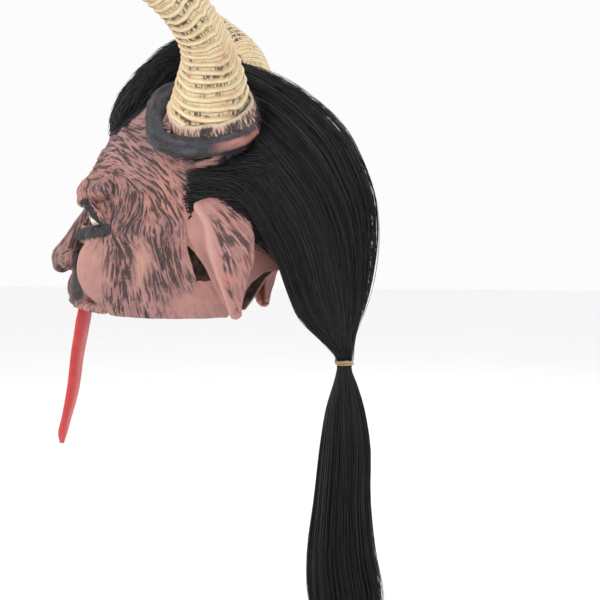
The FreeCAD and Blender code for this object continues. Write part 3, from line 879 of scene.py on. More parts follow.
def make_horn(side, label):
    """Curved horn of overlapping rings; each ring has a rolled lip and a groove above it."""
    rows, columns = 620, 144
    line = spline(HORN, rows)
    path, radius = line[:, :3], line[:, 3]
    across, top = frames(path, (0, 1, 0))
    run = np.concatenate([[0], np.cumsum(np.linalg.norm(np.diff(path, axis=0), axis=1))])
    pitch = np.interp(run, [0, 60, 110, 240, run[-1]], [15, 12, 9.0, 8.4, 5.5])
    count = np.concatenate([[0], np.cumsum(np.diff(run) / pitch[1:])])
    angle = np.linspace(0, 2 * np.pi, columns, endpoint=False)
    ring_x, ring_y = np.cos(angle), np.sin(angle)
    flat = np.stack([np.broadcast_to(ring_x, (rows, columns)), np.broadcast_to(ring_y, (rows, columns)),
                     np.broadcast_to(run[:, None] / 60, (rows, columns))], -1).reshape(-1, 3)
    wobble = noise(flat * [1.6, 1.6, 1.4] + 5, 41) * 0.42 + noise(flat * [3.5, 3.5, 3.0], 42) * 0.16
    phase = count[:, None] + wobble.reshape(rows, columns)
    part = phase - np.floor(phase)
    lip = np.exp(-((part - 0.14) / 0.13) ** 2) + 0.75 * np.exp(-((part - 1.14) / 0.13) ** 2)
    swell = 0.62 * step(0.34, 0.95, part)
    height = np.clip(lip + swell, 0, 1.2)
    size = np.interp(run, [0, run[-1] * 0.85, run[-1]], [1.0, 0.75, 0.25])
    chips = noise(flat * [9, 9, 26], 43).reshape(rows, columns)
    profile = radius[:, None] + size[:, None] * (2.2 * height - 1.4 + 0.28 * chips * (1 - lip))
    close = np.clip((run[-1] - run) / 9, 0, 1)[:, None]
    profile = profile * np.sqrt(np.clip(1 - (1 - close) ** 2, 0.01, 1))
    rings = path[:, None] + profile[..., None] * (across[:, None] * ring_x[None, :, None]
                                                 + top[:, None] * ring_y[None, :, None])
    shown = slice(np.searchsorted(run, HORN_START), None)
    rings, profile, run, part, height = (values[shown] for values in (rings, profile, run, part, height))
    unroll = np.stack([profile * ring_x, profile * ring_y, np.broadcast_to(run[:, None], profile.shape)], -1)
    points, faces = closed_tube(rings)
    unrolled = np.vstack([unroll.reshape(-1, 3), [[0, 0, 0], [0, 0, run[-1]]]])
    ring_phase = np.concatenate([part.ravel(), [0, 0]])
    ridge = np.concatenate([height.ravel(), [0, 0]])
    if side > 0:
        faces = [f[:, ::-1] for f in faces]
    points[:, 0] *= side
    horn = build(label + "_horn_rings", points, faces, horn_paint,
                 values={"around": unrolled, "phase": ring_phase, "ridge": ridge})
    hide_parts(label + "_horn")
    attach(horn, "head")


# ---------------------------------------------------------------- rolled collars round the horns

def make_collar(side, label):
    """Torn-looking double fold of skin: a dark roll with a painted pink highlight along its outer rim, and a
    furry cuff inside.
    """
    axis = COLLAR_AXIS
    u = unit(np.cross(axis, [1.0, 0, 0]))
    v = np.cross(axis, u)
    rows, columns = 300, 56
    turn = np.linspace(0, 2 * np.pi, rows, endpoint=False)
    outward = np.cos(turn)[:, None] * u + np.sin(turn)[:, None] * v
    ring = np.stack([np.cos(turn), np.sin(turn), turn * 0], 1)
    reach = 52 + 2.5 * noise(ring * 1.5, 51) + 0.8 * noise(ring * 4, 52)
    lift = 3.0 * noise(ring * 1.3, 53)
    thick = 12.5 + 1.6 * noise(ring * 2.0, 54)
    base = COLLAR_CENTRE + outward * reach[:, None] + axis * lift[:, None]
    base = settle(base, 4)[0] + axis * 4.0
    angle = np.linspace(0, 2 * np.pi, columns, endpoint=False)
    cross = np.stack([np.cos(angle), np.sin(angle)], 1)
    points = base[:, None] + thick[:, None, None] * (cross[None, :, :1] * outward[:, None]
                                                     + cross[None, :, 1:] * axis[None, None] * 0.86)
    flat = points.reshape(-1, 3)
    normal = (cross[None, :, :1] * outward[:, None] + cross[None, :, 1:] * axis[None, None]).reshape(-1, 3)
    around = np.repeat(outward, columns, axis=0)
    along = np.cross(axis, around)
    folds = streaks(flat, along, 4.5, 26, 55)
    cross_folds = noise(flat / 6, 56)
    flat = flat + normal * (1.1 * folds + 0.9 * cross_folds)[:, None]
    facing = (normal * around).sum(1)
    upward = (normal * axis).sum(1)
    pink, slate, dark = srgb(172, 112, 104), srgb(42, 48, 55), srgb(20, 22, 26)
    # Painted highlight: pink on the roll's outer rim, only where it faces out, not down, and towards the
    # back.
    rim = step(0.72, 0.97, facing + 0.15 * noise(flat / 9, 57)) * step(-0.5, 0.0, upward)
    rim = rim * step(0.1, 0.6, around[:, 1])
    colours = slate + (dark - slate) * step(0.0, 0.8, -folds)[:, None]
    colours = colours + (pink - colours) * (rim * 0.9)[:, None]
    colours = colours + (srgb(84, 86, 94) - colours) * (0.4 * step(0.2, 0.8, folds))[:, None]
    groove = np.maximum(0.6 * step(0.1, 0.7, -folds), 1 - rim)
    quads = grid_quads(rows + 1, columns, wrap=True) % (rows * columns)
    flat[:, 0] *= side
    if side < 0:
        quads = quads[:, ::-1]
    roll = build(label + "_collar_roll", flat, [quads], collar_skin, colours,
                 {"groove": groove})
    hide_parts(label + "_horn_collar")
    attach(roll, "head")
    make_cuff(side, label, outward)


def make_cuff(side, label, outward):
    """Pale furry skirt that flares from the horn's lowest ring down to the dark roll."""
    rows, columns, axis = len(outward), 30, COLLAR_AXIS
    start = HORN[1, :3] + 0.68 * (HORN[2, :3] - HORN[1, :3])
    ring = outward * [1, 1, 0]
    rise = 2.5 * noise(ring * 1.6 + 3, 61) + 1.2 * noise(ring * 5, 62)
    t = np.linspace(0, 1, columns)
    spread = 44.5 + 5.5 * (1 - t) ** 1.3
    top_edge = start[None] + axis * rise[:, None]
    points = top_edge[:, None] + outward[:, None] * spread[None, :, None]
    points = points - axis * (26 * (1 - t))[None, :, None]
    back = points - outward[:, None] * 3.2
    profile = np.concatenate([points, back[:, ::-1]], axis=1)
    width = profile.shape[1]
    flat = profile.reshape(-1, 3)
    lanes = np.repeat(outward, width, axis=0)
    fur = streaks(flat, np.broadcast_to(axis, flat.shape), 1.3, 10, 63)
    flat = flat + lanes * (0.9 * fur)[:, None]
    quads = grid_quads(rows + 1, width, wrap=True) % (rows * width)
    pale, dark = srgb(200, 170, 152), srgb(50, 46, 48)
    edge = np.tile(np.concatenate([t, t[::-1]]), rows)
    tone = fur + 0.8 * (edge - 0.78) + 0.5 * noise(flat / 14, 64)
    colours = dark + (pale - dark) * step(-0.30, 0.35, tone)[:, None]
    colours = colours + (srgb(214, 196, 172) - colours) * (0.7 * step(0.86, 0.95, edge))[:, None]
    flat[:, 0] *= side
    if side > 0:
        quads = quads[:, ::-1]
    cuff = build(label + "_collar_cuff", flat, [quads], collar_skin, colours,
                 {"groove": step(0.0, 0.6, -fur) * 0.5})
    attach(cuff, "head")


# ---------------------------------------------------------------- ears

# Front root, rolled front rim, widest line, back edge and back root, each from top to tip.
EAR_LINES = [
    [(84, 20, 119), (86, 14, 108), (88, 14, 92), (90, 22, 72), (92, 36, 50),
     (93, 46, 30), (92, 55, 15), (90, 58, 8)],
    [(97, 26, 122), (104, 28, 115), (110, 39, 99), (113, 43, 74), (112, 50, 49),
     (108, 56, 30), (101, 60, 14), (96, 62, 3)],
    [(98, 44, 129), (110, 46, 119), (118, 56, 100), (121, 64, 75), (119, 66, 50),
     (112, 66, 30), (104, 67, 13), (97, 68, 2)],
    [(92, 62, 128), (101, 74, 116), (108, 83, 98), (110, 88, 76), (108, 85, 54),
     (104, 77, 32), (100, 74, 15), (95, 73, 6)],
    [(82, 60, 122), (86, 70, 110), (90, 78, 94), (92, 80, 76), (92, 76, 54),
     (93, 70, 32), (93, 70, 17), (91, 70, 11)],
]


def make_ear(side, label):
    """Drooping leaf ear with a rolled rim, joined to the head along its front upper edge."""
    rows, columns = 170, 110
    curves = np.stack([spline(line, rows) for line in EAR_LINES], 1)
    sheet = np.stack([spline(curves[row], columns) for row in range(rows)])
    du, dv = np.gradient(sheet, axis=0), np.gradient(sheet, axis=1)
    normal = unit(np.cross(du, dv))
    if normal[rows // 2, columns // 2, 0] < 0:
        normal = -normal
    u = np.linspace(0, 1, rows)[:, None]
    w = np.linspace(0, 1, columns)[None, :]
    flat = sheet.reshape(-1, 3)
    wave = noise(flat / 15, 71).reshape(rows, columns)
    ends = step(0.0, 0.06, u) * step(0.0, 0.05, 1 - u)
    rim = np.exp(-((w - 0.25) / 0.055) ** 2) * ends
    hollow = np.exp(-((w - 0.12) / 0.07) ** 2) * ends
    outer = sheet + normal * (1.6 * rim - 2.2 * hollow + 1.1 * wave)[..., None]
    inner = outer - normal * 3.4
    flow = unit(du + 0.45 * dv).reshape(-1, 3)
    fur = streaks(outer.reshape(-1, 3), flow, 1.7, 13, 72)
    mask = step(0.30, 0.40, w) * step(1.0, 0.86, w) * step(0.02, 0.15, u) * step(0.97, 0.86, u)
    mask = mask.ravel()
    patchy = 0.35 + 0.65 * step(-0.2, 0.3, noise(outer.reshape(-1, 3) / 12, 73))
    hairs = step(-0.22, 0.22, -fur) * mask * patchy
    outer = outer - normal * (0.8 * hairs).reshape(rows, columns)[..., None]
    points = np.concatenate([outer.reshape(-1, 3), inner.reshape(-1, 3)])
    quads = grid_quads(rows, columns)
    order = np.concatenate([np.arange(columns), np.arange(1, rows) * columns + columns - 1,
                            (rows - 1) * columns + np.arange(columns - 2, -1, -1),
                            np.arange(rows - 2, 0, -1) * columns])
    nxt = np.roll(order, -1)
    count = rows * columns
    rim_quads = np.stack([order, nxt, nxt + count, order + count], 1)
    faces = np.vstack([quads, quads[:, ::-1] + count, rim_quads[:, ::-1]])
    pink, flush, dark = srgb(170, 122, 116), srgb(174, 114, 104), srgb(46, 40, 43)
    colours = wash(np.tile(pink, (count, 1)), flush, step(0, 0.6, noise(flat / 20, 74)))
    colours = wash(colours, srgb(156, 118, 122), 0.5 * step(0.0, 0.5, noise(flat / 11, 76)) * mask)
    colours = wash(colours, dark, 0.9 * hairs)
    # Painted highlight along the rolled rim.
    rim_highlight = np.broadcast_to(rim, (rows, columns)).ravel()
    colours = wash(colours, srgb(196, 154, 143), 0.7 * rim_highlight)
    seam = np.exp(-((w - 0.47) / 0.05) ** 2) * step(0.25, 0.5, u) * step(0.95, 0.8, u)
    colours = wash(colours, dark, 0.75 * seam.ravel() * step(-0.2, 0.4, -fur))
    # Painted shade in the hollow beside the front root.
    deep = (np.exp(-((w - 0.10) / 0.06) ** 2) * step(0.3, 0.5, u)).ravel()
    colours = wash(colours, srgb(120, 80, 76), 0.5 * deep)
    back = np.tile(srgb(176, 122, 112), (count, 1)) * (1 + 0.12 * noise(flat / 8, 75))[:, None]
    points[:, 0] *= side
    if side < 0:
        faces = faces[:, ::-1]
    ear = build(label + "_ear_leaf", points, [faces], ear_skin, np.vstack([colours, back]),
                {"groove": np.concatenate([hairs * 0.7, hairs * 0])})
    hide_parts(label + "_ear")
    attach(ear, "head")


# ---------------------------------------------------------------- tongue

def make_tongue():
    """Long flat tongue with a centre furrow and curled edges, from the mouth roof to its tip."""
    line = np.array([(-116, 27, 14, 3.6), (-119, 17, 17, 4.6), (-121, 7, 18.5, 5.2), (-125, -14, 19.5, 5.4),
                     (-131, -44, 19.5, 5.2), (-136, -78, 18, 4.9), (-143, -112, 15, 4.4),
                     (-149, -134, 11, 3.8), (-151, -148, 3, 1.6)], float)
    rows, columns = 240, 72
    smooth = spline(line, rows)
    path = np.stack([np.zeros(rows), smooth[:, 0], smooth[:, 1]], 1)
    half, thick = smooth[:, 2], smooth[:, 3]
    across, front = frames(path, (1, 0, 0))
    if front[rows // 2, 1] > 0:
        front = -front
    angle = np.linspace(0, 2 * np.pi, columns, endpoint=False)
    c, s = np.cos(angle), np.sin(angle)
    run = np.linspace(0, 1, rows)[:, None]
    width = np.sign(c) * np.abs(c) ** 0.8
    unrolled = np.stack(np.broadcast_arrays(c[None], run * 9, 0 * run), -1).reshape(-1, 3)
    ripple = noise(unrolled, 81).reshape(rows, columns)
    depth = s[None] * thick[:, None] * (1 - 0.25 * np.abs(c[None]) ** 3)
    furrow = 2.2 * np.exp(-(width[None] / 0.16) ** 2) * (s[None] > 0)
    furrow = furrow * step(0.0, 0.15, run) * step(1.0, 0.8, run)
    curl = 2.4 * np.abs(width[None]) ** 3 * step(0.1, 0.4, run)
    offset = depth - furrow + curl + 0.7 * ripple * step(0.05, 0.2, run)
    sway = 1.3 * np.sin(run * 9.0) * run
    sideways = width[None] * half[:, None] * (1 + 0.05 * ripple) + sway
    rings = path[:, None] + across[:, None] * sideways[..., None] + front[:, None] * offset[..., None]
    points, faces = closed_tube(rings)
    red, deep, tip = srgb(198, 52, 54), srgb(150, 26, 32), srgb(196, 70, 66)
    shade = np.broadcast_to(np.exp(-(width[None] / 0.2) ** 2) * (s[None] > 0), (rows, columns)).ravel()
    fade = np.broadcast_to(run, (rows, columns)).ravel()
    colours = np.tile(red, (rows * columns, 1)) + (deep - red) * (0.65 * shade)[:, None]
    colours = colours + (tip - colours) * step(0.7, 1.0, fade)[:, None]
    # Painted shade at the root, where the tongue goes in under the upper lip.
    colours = colours + (deep * 0.7 - colours) * step(0.16, 0.02, fade)[:, None]
    colours = np.vstack([colours, colours[:1], colours[-1:]])
    tongue = build("tongue_blade", points, faces, tongue_paint, colours)
    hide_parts("tongue")
    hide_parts("tongue_root")
    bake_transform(tongue)


for side_sign, side_label in ((1, "left"), (-1, "right")):
    make_horn(side_sign, side_label)
    make_collar(side_sign, side_label)
    make_ear(side_sign, side_label)
make_tongue()


# ---------------------------------------------------------------- scalp cap and hair

TIE = np.array([0, 170, -52.0])
# Outline of the combed hair in the middle plane and along its lowest side edge, front to tie.
CREST = spline([(0, 20, 281), (0, 60, 272), (0, 104, 250), (0, 140, 219), (0, 162, 192), (0, 176, 162),
                (0, 188, 130), (0, 193, 98), (0, 194, 66), (0, 192, 34), (0, 187, 4), (0, 180, -24),
                (0, 173, -47)], 200)
SIDE = spline([(92, 18, 128), (98, 30, 134), (104, 48, 136), (107, 72, 128), (106, 88, 108),
               (100, 100, 84), (92, 112, 60), (80, 119, 34), (64, 129, 4), (42, 145, -20),
               (8, 166, -47)], 200)


def along_curve(curve, t):
    """Point of a curve at t in 0..1 by length."""
    run = np.concatenate([[0], np.cumsum(np.linalg.norm(np.diff(curve, axis=0), axis=1))])
    return np.stack([np.interp(t * run[-1], run, curve[:, k]) for k in range(3)], -1)


def scalp(a, t):
    """Point of the combed surface: a runs from -1 (right side) to 1 (left side), t from front to tie."""
    a, t = np.broadcast_arrays(a, t)
    crest, low = along_curve(CREST, t), along_curve(SIDE, t)
    theta = np.abs(a) * np.pi / 2
    fold = 1 - np.cos(theta)
    x = low[..., 0] * np.sin(theta) * np.sign(a)
    y = crest[..., 1] + (low[..., 1] - crest[..., 1]) * fold
    z = crest[..., 2] + (low[..., 2] - crest[..., 2]) * fold
    return np.stack([x, y, z], -1)


def horn_gap(points):
    """Distance from the axis of the nearer horn collar."""
    p = points.reshape(-1, 3).copy()
    p[:, 0] = np.abs(p[:, 0])
    d = p - COLLAR_CENTRE
    gap = np.linalg.norm(d - (d @ COLLAR_AXIS)[:, None] * COLLAR_AXIS, axis=1)
    return gap.reshape(points.shape[:-1])


def clear_of_head(points, distance):
    """Push points out until they are at least distance from the skin."""
    flat = points.reshape(-1, 3).copy()
    close = np.arange(len(flat))
    for _ in range(3):
        d = face_field(flat[close])
        close, d = close[d < distance], d[d < distance]
        flat[close] += unit(face_normal(flat[close])) * np.clip(distance - d, 0, 12)[:, None]
    return flat.reshape(points.shape)


def make_cap():
    """Thin cloth cap between skin and hair."""
    p = face_points
    value = (p[:, 1] + 50) * 0.643 + (p[:, 2] - 208) * 0.766
    value = np.minimum(value, (p[:, 1] + 36) * 0.9)
    value = np.minimum(value, horn_gap(p) - 47)
    value = np.minimum(value, p[:, 1] - np.interp(p[:, 2], [150, 185, 225], [52, 62, -36]))
    points, triangles = trim(p, face_triangles, value)
    normals = unit(face_normal(points))
    shell, faces = thicken(points + normals * 2.4, points + normals * 1.2, triangles)
    cap = build("scalp_cap_cloth", shell, faces, cap_cloth)
    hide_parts("scalp_cap")
    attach(cap, "head")


def make_hair_mass():
    """Solid body of combed hair under the strands."""
    rows, columns = 170, 150
    t = np.linspace(0.02, 0.995, rows)[:, None]
    a = np.linspace(-1, 1, columns)[None, :]
    surface = scalp(a, t)
    flow = np.stack(np.broadcast_arrays(a * 46, t * 5, 0 * a), -1).reshape(-1, 3)
    grooves = noise(flow, 91) + 0.5 * noise(flow * 2.3, 92)
    du, dv = np.gradient(surface, axis=0), np.gradient(surface, axis=1)
    normal = unit(np.cross(dv, du))
    outward = surface - np.array([0, 60, 110])
    normal *= np.sign((normal * outward).sum(-1, keepdims=True) + 1e-9)
    taper = np.sin(np.pi * np.clip(1.02 - np.abs(a), 0.02, 0.5))
    outer = surface + normal * (1.3 * grooves.reshape(rows, columns) - 3.5)[..., None]
    depth = (3 + 9 * taper) * step(1.0, 0.86, t) + 1.5
    inner = outer - normal * np.broadcast_to(depth, (rows, columns))[..., None]
    outer = clear_of_head(outer, 6.0)
    inner = clear_of_head(inner, 3.0)
    quads = grid_quads(rows, columns)
    points, back = outer.reshape(-1, 3), inner.reshape(-1, 3)
    stacked = np.hstack([points, back, flow])
    triangles = np.vstack([quads[:, [0, 1, 2]], quads[:, [0, 2, 3]]])
    hairline = np.interp(points[:, 2], [150, 185, 230], [50, 60, -6])
    value = np.minimum(horn_gap(points) - 56, points[:, 1] - hairline)
    kept, triangles = trim(stacked, triangles, value)
    shell, faces = thicken(kept[:, :3], kept[:, 3:6], triangles[:, ::-1])
    mass = build("combed_hair_mass", shell, faces, hair_mass,
                 values={"flow": np.vstack([kept[:, 6:], kept[:, 6:]])})
    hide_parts("crown_hair")
    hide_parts("back_hair")
    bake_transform(mass)


def lateral_spread(count):
    """Even random spread over the combed surface; more strands near the side edges."""
    a = rng.uniform(-1, 1, count)
    return np.sign(a) * np.abs(a) ** 0.9


def combed(count, steps, lift_low, lift_high):
    """Paths of strands from the scalp to the tie, grouped in loose locks."""
    locks = lateral_spread(count // 14)
    a0 = locks[rng.integers(0, len(locks), count)] + rng.normal(0, 0.022, count)
    a0 = np.clip(a0, -1.0, 1.0)
    begin = rng.uniform(0.0, 0.34, count) ** 1.2
    u = np.linspace(0, 1, steps)[None, :]
    t = begin[:, None] + (1 - begin[:, None]) * u
    drift = rng.normal(0, 0.03, (count, 1)) * np.sin(np.pi * u)
    wave = 0.012 * np.sin(u * rng.uniform(3, 9, (count, 1)) + rng.uniform(0, 6, (count, 1)))
    a = np.clip(a0[:, None] + (drift + wave) * (1 - u), -1.02, 1.02)
    p = scalp(a, t)
    outward = unit(p - np.array([0, 70, 100.0]))
    lift = rng.uniform(lift_low, lift_high, (count, 1)) * np.sin(np.pi * np.clip(u * 0.9 + 0.12, 0, 1)) ** 0.6
    p = p + outward * lift[..., None]
    gather = step(0.80, 1.0, u)[..., None]
    knot = TIE + rng.normal(0, 3.4, (count, 1, 3)) * [1, 1, 0] + [0, 0, 2.0]
    p = p * (1 - gather) + (p * 0.15 + knot * 0.85) * gather
    return clear_of_head(p, 5.5)


def make_combed_strands():
    layers = ((2300, -2.5, 0.5, 0.62), (2300, -1.0, 2.2, 0.50), (1500, 0.5, 4.5, 0.42))
    for number, (count, low_lift, high_lift, radius) in enumerate(layers):
        paths = combed(count, 22, low_lift, high_lift)
        gap = horn_gap(paths)
        last_close = gap.shape[1] - 1 - np.argmax(gap[:, ::-1] < 57, axis=1)
        start = np.where((gap < 57).any(1), last_close + 1, 0)
        start = np.minimum(start, gap.shape[1] - 8)
        paths = resample_from(paths, start)
        piece = strands("combed_strands_%d" % (number + 1), paths, radius, hair)
        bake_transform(piece)


def resample_from(paths, start):
    """Drop the first start steps of each path and spread the same number of steps over the rest."""
    count, steps = paths.shape[:2]
    u = start[:, None] + (steps - 1 - start[:, None]) * np.linspace(0, 1, steps)[None, :]
    i = np.minimum(u.astype(int), steps - 2)
    w = (u - i)[..., None]
    rows = np.arange(count)[:, None]
    return paths[rows, i] * (1 - w) + paths[rows, i + 1] * w


def bezier(points, steps):
    """Smooth curves (curve, step, 3) through control points (curve, 4, 3) of one cubic each."""
    t = np.linspace(0, 1, steps)[None, :, None]
    a, b, c, d = (points[:, k, None] for k in range(4))
    return a * (1 - t) ** 3 + 3 * b * t * (1 - t) ** 2 + 3 * c * t * t * (1 - t) + d * t ** 3


def make_temple_strands():
    """Shaggy lock that starts at the temple, passes over the ear and joins the combed hair."""
    edge = spline([(92, 18, 103), (93, 16, 112), (93, 14, 130), (91, 20, 150), (87, 30, 166),
                   (84, 46, 176)], 60)
    for sign, label in ((1, "left"), (-1, "right")):
        count, steps = 1500, 18
        k = rng.uniform(0, 1, count) ** 0.85
        start = along_curve(edge, k)
        start = start + rng.normal(0, 1, (count, 3)) * [1.5, 2.0, 2.5]
        start[:, 1] += np.abs(rng.normal(0, 12, count))
        start, _ = settle(start, 4)
        layer = rng.uniform(0, 1, count)
        across = np.clip(0.98 - 0.34 * k + rng.normal(0, 0.04, count), 0.4, 1.0)
        far = scalp(across, rng.uniform(0.30, 0.52, count))
        start = start + [2.5, 0, 0]
        first = start + np.stack([4 + 9 * layer, 14 + 6 * layer, 6 - 10 * k + rng.normal(0, 3, count)], 1)
        lift = np.stack([8 + 7 * layer, 8 + 0 * k, 6 + rng.normal(0, 3, count)], 1)
        second = far * 0.45 + start * 0.55 + lift
        far = far + np.stack([2.5 * layer, 0 * k, 0 * k], 1)
        paths = bezier(np.stack([start, first, second, far], 1), steps)
        sway = 1.6 * np.sin(np.linspace(0, 9, steps))[None, :, None]
        paths = paths + sway * rng.normal(0, 0.5, (count, 1, 3))
        paths = clear_of_head(paths, 3.0)
        paths[..., 0] *= sign
        lock = strands(label + "_temple_strands", paths, 0.6, hair)
        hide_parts(label + "_temple_hair")
        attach(lock, "head")


# Place along Y, height, half width and half thickness of each station, from the brow to the crown.
FORELOCK = np.array([(-73, 199, 36, 10), (-71, 209, 45, 15), (-58, 232, 49, 19), (-36, 257, 42, 19),
                     (-10, 280, 31, 18), (16, 284, 23, 18), (44, 272, 20, 16), (70, 256, 14, 10)], float)


def blunt(x):
    """Fuller profile than a circle's, still from -1 to 1."""
    return np.sign(x) * np.abs(x) ** 0.7


def make_forelock():
    """Thick furry roll between the horns that falls over the forehead."""
    rows, columns = 110, 84
    line = spline(FORELOCK, rows)
    path = np.stack([np.zeros(rows), line[:, 0], line[:, 1]], 1)
    across, top = frames(path, (1, 0, 0))
    if top[rows // 2, 2] < 0:
        top = -top
    angle = np.linspace(0, 2 * np.pi, columns, endpoint=False)
    c, s = blunt(np.cos(angle))[None, :, None], blunt(np.sin(angle))[None, :, None]
    half, thick = line[:, 2][:, None, None] - 3, line[:, 3][:, None, None] - 3
    bend = 0.0046
    rings = path[:, None] + across[:, None] * half * c + top[:, None] * (thick * s - bend * (half * c) ** 2)
    run = np.linspace(0, 4, rows)[:, None]
    flat = np.stack(np.broadcast_arrays(angle[None] * 6, run, 0 * angle[None]), -1)
    bumpy = noise(rings.reshape(-1, 3) / 8, 95).reshape(rows, columns, 1)
    rings = rings + (across[:, None] * c + top[:, None] * s) * bumpy * 1.5
    points, faces = closed_tube(rings)
    mass = build("forelock_mass", clear_of_head(points, 1.5), faces, hair_mass,
                 values={"flow": np.vstack([flat.reshape(-1, 3), flat[0, :1], flat[-1, :1]])})
    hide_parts("forelock")
    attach(mass, "head")
    count, steps = 4200, 9
    along = rng.uniform(0.02, 0.80, count)
    turn = rng.uniform(0, 2 * np.pi, count)
    length = rng.uniform(0.10, 0.30, count)
    u = np.linspace(0, 1, steps)[None, :]
    at = np.clip(along[:, None] - length[:, None] * (u - 0.3), 0, 0.999)
    turn = turn[:, None] + rng.normal(0, 0.35, (count, 1)) * u
    index = at * (rows - 1)
    low_index = index.astype(int)
    high_index = np.minimum(low_index + 1, rows - 1)
    w = (index - low_index)[..., None]

    def blend_rows(values):
        return values[low_index] * (1 - w) + values[high_index] * w

    spread = rng.uniform(-2.5, 1.0, (count, 1)) + rng.uniform(0, 6.0, (count, 1)) * u ** 2
    cx, sx = blunt(np.cos(turn))[..., None], blunt(np.sin(turn))[..., None]
    half_r = blend_rows(line[:, 2:3]) + spread[..., None]
    thick_r = blend_rows(line[:, 3:4]) + spread[..., None]
    drop = bend * (half_r * cx) ** 2
    paths = blend_rows(path) + blend_rows(across) * half_r * cx + blend_rows(top) * (thick_r * sx - drop)
    end_drop = step(0.10, 0.0, at)[..., None] * np.array([0, -1.5, -5.0])
    paths = clear_of_head(paths + end_drop + rng.normal(0, 0.4, (count, 1, 3)), 1.5)
    fur = strands("forelock_fur", paths, 0.55, hair)
    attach(fur, "head")


def make_flyaways():
    """Loose hairs that stand off the crown and the back."""
    count, steps = 260, 24
    a = rng.normal(0, 0.28, count)[:, None]
    u = np.linspace(0, 1, steps)[None, :]
    begin = rng.uniform(0.05, 0.3, (count, 1))
    end = rng.uniform(0.75, 0.97, (count, 1))
    t = begin + (end - begin) * u
    p = scalp(np.clip(a + 0.03 * np.sin(u * 4), -1, 1), t)
    bow = rng.uniform(2, 17, (count, 1)) * np.sin(np.pi * u) ** 0.8
    p = p + unit(p - np.array([0, 80, 90.0])) * bow[..., None]
    loose = strands("loose_hairs", p, 0.28, hair)
    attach(loose, "head")


# Height, place along Y, half depth and half width of each station, from the tie down.
TAIL = np.array([(-54, 170, 7.0, 6.5), (-62, 170, 7.5, 7), (-78, 171, 12, 11), (-105, 171, 19, 17),
                 (-148, 171, 25, 22), (-204, 168, 28, 25), (-262, 167, 34, 28), (-313, 172, 38, 30),
                 (-352, 173, 29, 22), (-376, 174, 13, 10)], float)


def make_tail():
    """Gathered tail below the tie."""
    rows, columns = 150, 72
    line = spline(TAIL, rows)
    angle = np.linspace(0, 2 * np.pi, columns, endpoint=False)[None, :]
    run = np.linspace(0, 5, rows)[:, None]
    flow = np.stack(np.broadcast_arrays(6 * np.cos(angle), 6 * np.sin(angle), run), -1)
    grooves = noise(flow.reshape(-1, 3) * 1.6, 96).reshape(rows, columns)
    shrink = np.clip(0.80 + 0.10 * grooves, 0, 1) * step(-0.02, 0.04, np.linspace(1, 0, rows))[:, None]
    x = line[:, 3:] * shrink * np.cos(angle)
    y = line[:, 1:2] + line[:, 2:3] * shrink * np.sin(angle)
    rings = np.stack(np.broadcast_arrays(x, y, line[:, :1]), -1)
    points, faces = closed_tube(rings)
    core = build("tail_mass", points, faces, hair_mass,
                 values={"flow": np.vstack([flow.reshape(-1, 3), flow[0, :1], flow[-1, :1]])})
    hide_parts("ponytail")
    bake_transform(core)
    layers = ((1700, 0.62, 0.98, 0.55), (700, 0.85, 1.12, 0.45))
    for number, (count, low, high, radius) in enumerate(layers):
        steps = 22
        locks = rng.uniform(0, 2 * np.pi, count // 12)
        turn = locks[rng.integers(0, len(locks), count)] + rng.normal(0, 0.10, count)
        depth = rng.uniform(low ** 2, high ** 2, count) ** 0.5
        finish = rng.uniform(0.78, 1.0, count)
        u = np.linspace(0, 1, steps)[None, :] * finish[:, None]
        row = u * (rows - 1)
        i = np.minimum(row.astype(int), rows - 2)
        w = row - i
        stations = line[i] * (1 - w)[..., None] + line[i + 1] * w[..., None]
        swirl = turn[:, None] + 0.35 * u + rng.normal(0, 0.25, (count, 1)) * u
        wander = 1.5 * np.sin(u * rng.uniform(4, 10, (count, 1)) + rng.uniform(0, 6, (count, 1))) * u
        x = stations[..., 3] * depth[:, None] * np.cos(swirl) + wander
        y = stations[..., 1] + stations[..., 2] * depth[:, None] * np.sin(swirl) + wander * 0.5
        paths = np.stack([x, y, stations[..., 0]], -1)
        tail = strands("tail_strands_%d" % (number + 1), paths, radius, hair)
        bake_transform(tail)


def make_tie():
    """Thin tan elastic wound three times round the gathered hair."""
    rows, columns = 420, 12
    turn = np.linspace(0, 3 * 2 * np.pi, rows)
    r = 9.3 + 0.5 * np.sin(turn * 1.31)
    path = np.stack([r * np.cos(turn), 170 + r * np.sin(turn), -52 + 1.7 * np.sin(turn / 3 - np.pi / 2)
                     + 0.3 * np.sin(turn * 2.2)], 1)
    side, top = frames(path, (0, 0, 1))
    angle = np.linspace(0, 2 * np.pi, columns, endpoint=False)
    thick = 0.95 + 0.12 * np.sin(turn * 40)
    rings = path[:, None] + thick[:, None, None] * (side[:, None] * np.cos(angle)[None, :, None]
                                                    + top[:, None] * np.sin(angle)[None, :, None])
    points, faces = closed_tube(rings)
    band = build("hair_tie_elastic", points, faces, elastic)
    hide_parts("hair_tie")
    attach(band, "tie")


make_cap()
make_hair_mass()
make_combed_strands()
make_temple_strands()
make_forelock()
make_flyaways()
make_tail()
make_tie()


# ---------------------------------------------------------------- CAD pieces that stay, with their own paint

for eye_sign, eye_label in ((1, "left"), (-1, "right")):
    centre = (eye_sign * EYE[0] * MM, EYE[1] * MM, EYE[2] * MM)
    node = bpy.data.objects[eye_label + "_eye"]
    node.data.materials.clear()
    node.data.materials.append(eye_material(eye_label + "_eye_paint", centre))
    core = bpy.data.objects[eye_label + "_horn_core"]
    core.data.materials.clear()
    core.data.materials.append(foam)


# ---------------------------------------------------------------- camera, light and floor

AIM = Vector((0, 0.121, 0.0165))
AZIMUTH, ELEVATION, DISTANCE = math.radians(97), math.radians(3.5), 1.3
VIEW_WIDTH = 0.66


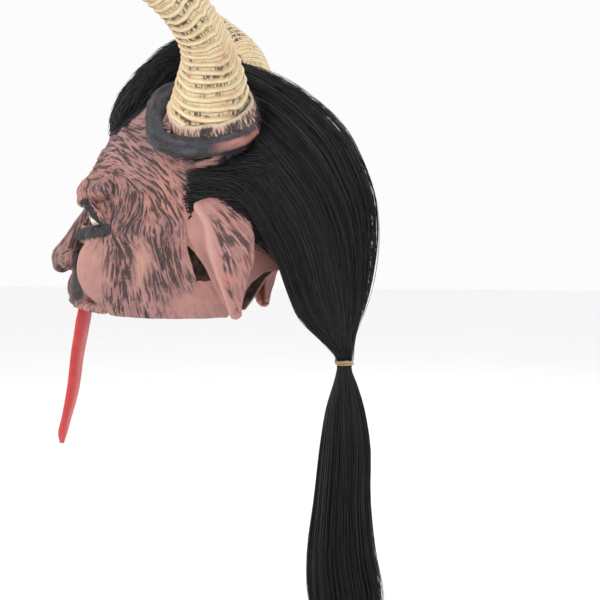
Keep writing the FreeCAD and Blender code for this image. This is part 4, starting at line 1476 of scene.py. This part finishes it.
def make_camera():
    data = bpy.data.cameras.new("camera")
    data.sensor_width = 36
    data.lens = 36 * DISTANCE / VIEW_WIDTH
    data.clip_end = 50
    camera = bpy.data.objects.new("camera", data)
    bpy.context.scene.collection.objects.link(camera)
    back = Vector((math.sin(AZIMUTH) * math.cos(ELEVATION), -math.cos(AZIMUTH) * math.cos(ELEVATION),
                   math.sin(ELEVATION)))
    camera.location = AIM + back * DISTANCE
    camera.rotation_mode = "QUATERNION"
    camera.rotation_quaternion = (-back).to_track_quat("-Z", "Y")
    bpy.context.scene.camera = camera


def area_light(name, place, aim, size, power):
    data = bpy.data.lights.new(name, "AREA")
    data.shape = "DISK"
    data.size = size
    data.energy = power
    lamp = bpy.data.objects.new(name, data)
    bpy.context.scene.collection.objects.link(lamp)
    lamp.location = place
    lamp.rotation_mode = "QUATERNION"
    lamp.rotation_quaternion = (Vector(aim) - Vector(place)).to_track_quat("-Z", "Y")


def make_stage():
    """Plain pale floor well under the tail, and a white room."""
    points = np.array([[-9000, -9000, 0], [9000, -9000, 0], [9000, 9000, 0], [-9000, 9000, 0]], float)
    points[:, 2] = cad_low[2] / MM - 60
    n = Nodes("pale_floor")
    grain = n.noise(n.position(), 6, 2)
    material = n.finish(n.mix(grain, srgb(250, 250, 250), srgb(246, 246, 246)), 0.9)
    floor = build("floor", points, [np.array([[0, 1, 2, 3]])], material)
    world = bpy.data.worlds.new("studio")
    world.use_nodes = True
    world.node_tree.nodes["Background"].inputs["Color"].default_value = (1, 1, 1, 1)
    world.node_tree.nodes["Background"].inputs["Strength"].default_value = 0.97
    bpy.context.scene.world = world
    bpy.context.scene.view_settings.view_transform = "Standard"
    area_light("key", (1.7, -1.2, 1.8), (0, 0, 0.1), 1.0, 24)
    area_light("side", (2.4, 1.2, 0.8), (0, 0.1, 0.0), 1.2, 8)
    area_light("back", (-1.8, 1.4, 1.5), (0, 0, 0.1), 1.2, 12)
    area_light("front", (-0.8, -2.2, 0.5), (0, 0, 0.1), 1.2, 6)


make_camera()
make_stage()
